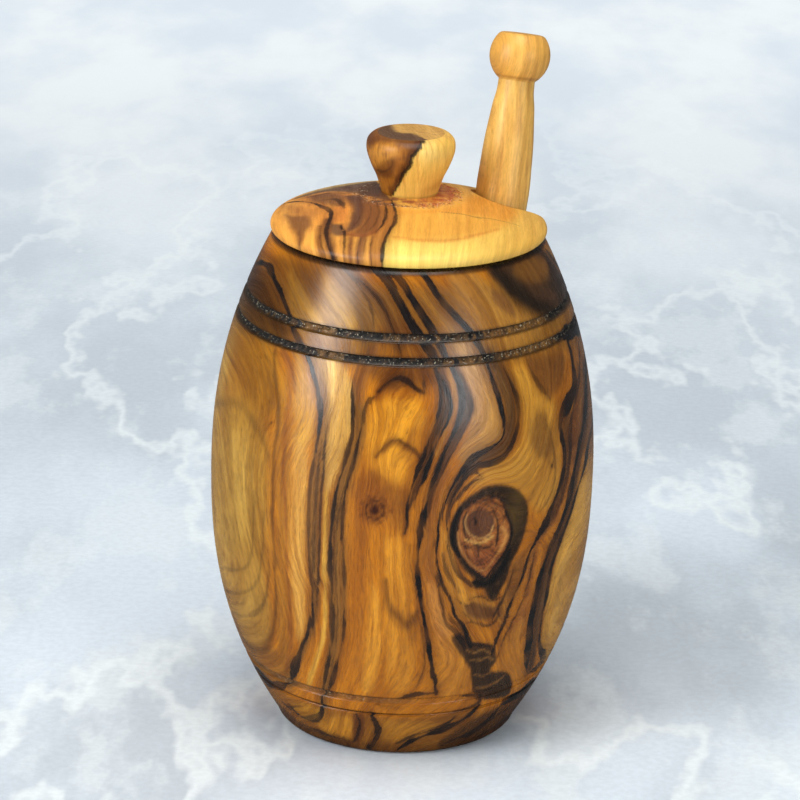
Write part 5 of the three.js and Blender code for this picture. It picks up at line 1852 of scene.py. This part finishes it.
# The stone's noises: scale, detail and roughness
STONE_CLOUDS = (13.0, 5.0, 0.55)
STONE_MOTTLE = (34.0, 5.0, 0.6)
STONE_VEINS = (6.0, 6.0, 0.6)
STONE_GRAIN = (500.0, 3.0, 0.6)
STONE_STRETCH = (1.0, 0.45, 1.0)
CLOUD_RANGE = (0.38, 0.62)
CLOUD_SHARES = (0.76, 0.98)
MOTTLE_RANGE = (0.5, 0.6)
MOTTLE_SHARE = 0.5
VEIN_WIDTH = 0.018
VEIN_SHARE = 0.7
GRAIN_SHARES = (0.96, 1.04)
# The stone's tones: all over, in its mottle and in its veins, and the wall's glow
STONE_TONE = (220, 229, 237)
MOTTLE_TONE = (230, 237, 239)
VEIN_TONE = (238, 244, 244)
GLOW_TONES = ((222, 232, 241), (240, 247, 250))
STONE_ROUGHNESS = 0.6
# Where up the backdrop the camera starts and ends to see it glow
WALL_GLOW_RISE = (0.06, 0.75)


def plain(name, color, roughness):
    """Pale marbled stone, which the camera sees brighter towards the wall's top."""
    n = Nodes(name)
    place = n.add("ShaderNodeTexCoord").outputs["Object"]
    flat = n.add("ShaderNodeVectorMath", {"operation": "MULTIPLY"}, i0=place, i1=STONE_STRETCH).outputs[0]
    cloud = n.noise(flat, *STONE_CLOUDS)
    mottle = n.noise(flat, *STONE_MOTTLE)
    shade = n.span(cloud, *CLOUD_RANGE)
    tone = n.mix(shade, rgba(color, CLOUD_SHARES[0]), rgba(color, CLOUD_SHARES[1]))
    tone = n.mix(n.span(mottle, *MOTTLE_RANGE, 0.0, MOTTLE_SHARE), tone, rgba(linear(*MOTTLE_TONE)))
    vein = n.math("ABSOLUTE", n.math("SUBTRACT", n.noise(flat, *STONE_VEINS), 0.5))
    tone = n.mix(n.span(vein, 0.0, VEIN_WIDTH, VEIN_SHARE, 0.0), tone, rgba(linear(*VEIN_TONE)))
    tone = n.multiply(tone, n.gray(n.span(n.noise(place, *STONE_GRAIN), *FINE_RANGE, *GRAIN_SHARES)))
    path = n.add("ShaderNodeLightPath").outputs
    tone = n.mix(path["Is Glossy Ray"], tone, rgba(color, REFLECTED_SHARE))
    shader = n.add("ShaderNodeBsdfPrincipled", None, Base_Color=tone, Roughness=roughness)
    bright = n.mix(shade, rgba(linear(*GLOW_TONES[0])), rgba(linear(*GLOW_TONES[1])))
    glow = n.add("ShaderNodeEmission", None, Color=bright, Strength=1.0)
    rise = n.add("ShaderNodeSeparateXYZ", None, Vector=place).outputs[1]
    seen = n.math("MULTIPLY", path["Is Camera Ray"], n.span(rise, *WALL_GLOW_RISE))
    both = n.add("ShaderNodeMixShader", None, i0=seen, i1=shader.outputs[0], i2=glow.outputs[0])
    n.add("ShaderNodeOutputMaterial", None, i0=both.outputs[0])
    return n.material


def backdrop():
    """A floor that curves up into a wall behind the pot."""
    turns = np.radians(np.linspace(0, 90, 25))
    bend = [(BEND_START + BEND_RADIUS * math.sin(a), BEND_RADIUS * (1 - math.cos(a))) for a in turns]
    line = [(-BACKDROP_HALF, 0.0), (0.0, 0.0), *bend, (BEND_START + BEND_RADIUS, WALL_TOP)]
    places = [(x, y, z) for y, z in line for x in (-BACKDROP_HALF, BACKDROP_HALF)]
    faces = [(2 * i, 2 * i + 1, 2 * i + 3, 2 * i + 2) for i in range(len(line) - 1)]
    mesh = bpy.data.meshes.new("backdrop")
    mesh.from_pydata(places, [], faces)
    mesh.shade_smooth()
    mesh.materials.append(plain("pale_floor", linear(*STONE_TONE), STONE_ROUGHNESS))
    piece = bpy.data.objects.new("backdrop", mesh)
    bpy.context.scene.collection.objects.link(piece)


def soft_light(name, place, aim, size, power, color):
    lamp = bpy.data.lights.new(name, "AREA")
    lamp.shape = "RECTANGLE"
    lamp.size, lamp.size_y = size
    lamp.energy = power
    lamp.color = color
    piece = bpy.data.objects.new(name, lamp)
    piece.location = place
    piece.rotation_euler = (Vector(aim) - Vector(place)).to_track_quat("-Z", "Y").to_euler()
    bpy.context.scene.collection.objects.link(piece)


def light():
    for name, place, size, power, color in LAMPS:
        soft_light(name, place, LAMP_AIM, size, power, color)
    world = bpy.data.worlds.new("world")
    world.use_nodes = True
    tree = world.node_tree
    sky = tree.nodes["Background"]
    sky.inputs["Color"].default_value = SKY_COLOR
    path = tree.nodes.new("ShaderNodeLightPath")
    level = tree.nodes.new("ShaderNodeMapRange")
    level.inputs["To Min"].default_value = SKY_STRENGTH
    level.inputs["To Max"].default_value = SKY_STRENGTH * REFLECTED_SHARE
    tree.links.new(path.outputs["Is Glossy Ray"], level.inputs["Value"])
    tree.links.new(level.outputs[0], sky.inputs["Strength"])
    bpy.context.scene.world = world


def camera():
    lens = bpy.data.cameras.new("camera")
    lens.sensor_width = SENSOR
    lens.lens = CAMERA_FOCAL_POINTS / PICTURE * SENSOR
    lens.clip_start, lens.clip_end = CLIP_RANGE
    piece = bpy.data.objects.new("camera", lens)
    turn = Matrix(AXES.tolist()).transposed().to_4x4()
    piece.matrix_world = Matrix.Translation(Vector(EYE * MM)) @ turn
    bpy.context.scene.collection.objects.link(piece)
    bpy.context.scene.camera = piece


camera()
light()
backdrop()
build_pot()
build_lid()
build_dipper()
bpy.context.scene.view_settings.view_transform = "Standard"
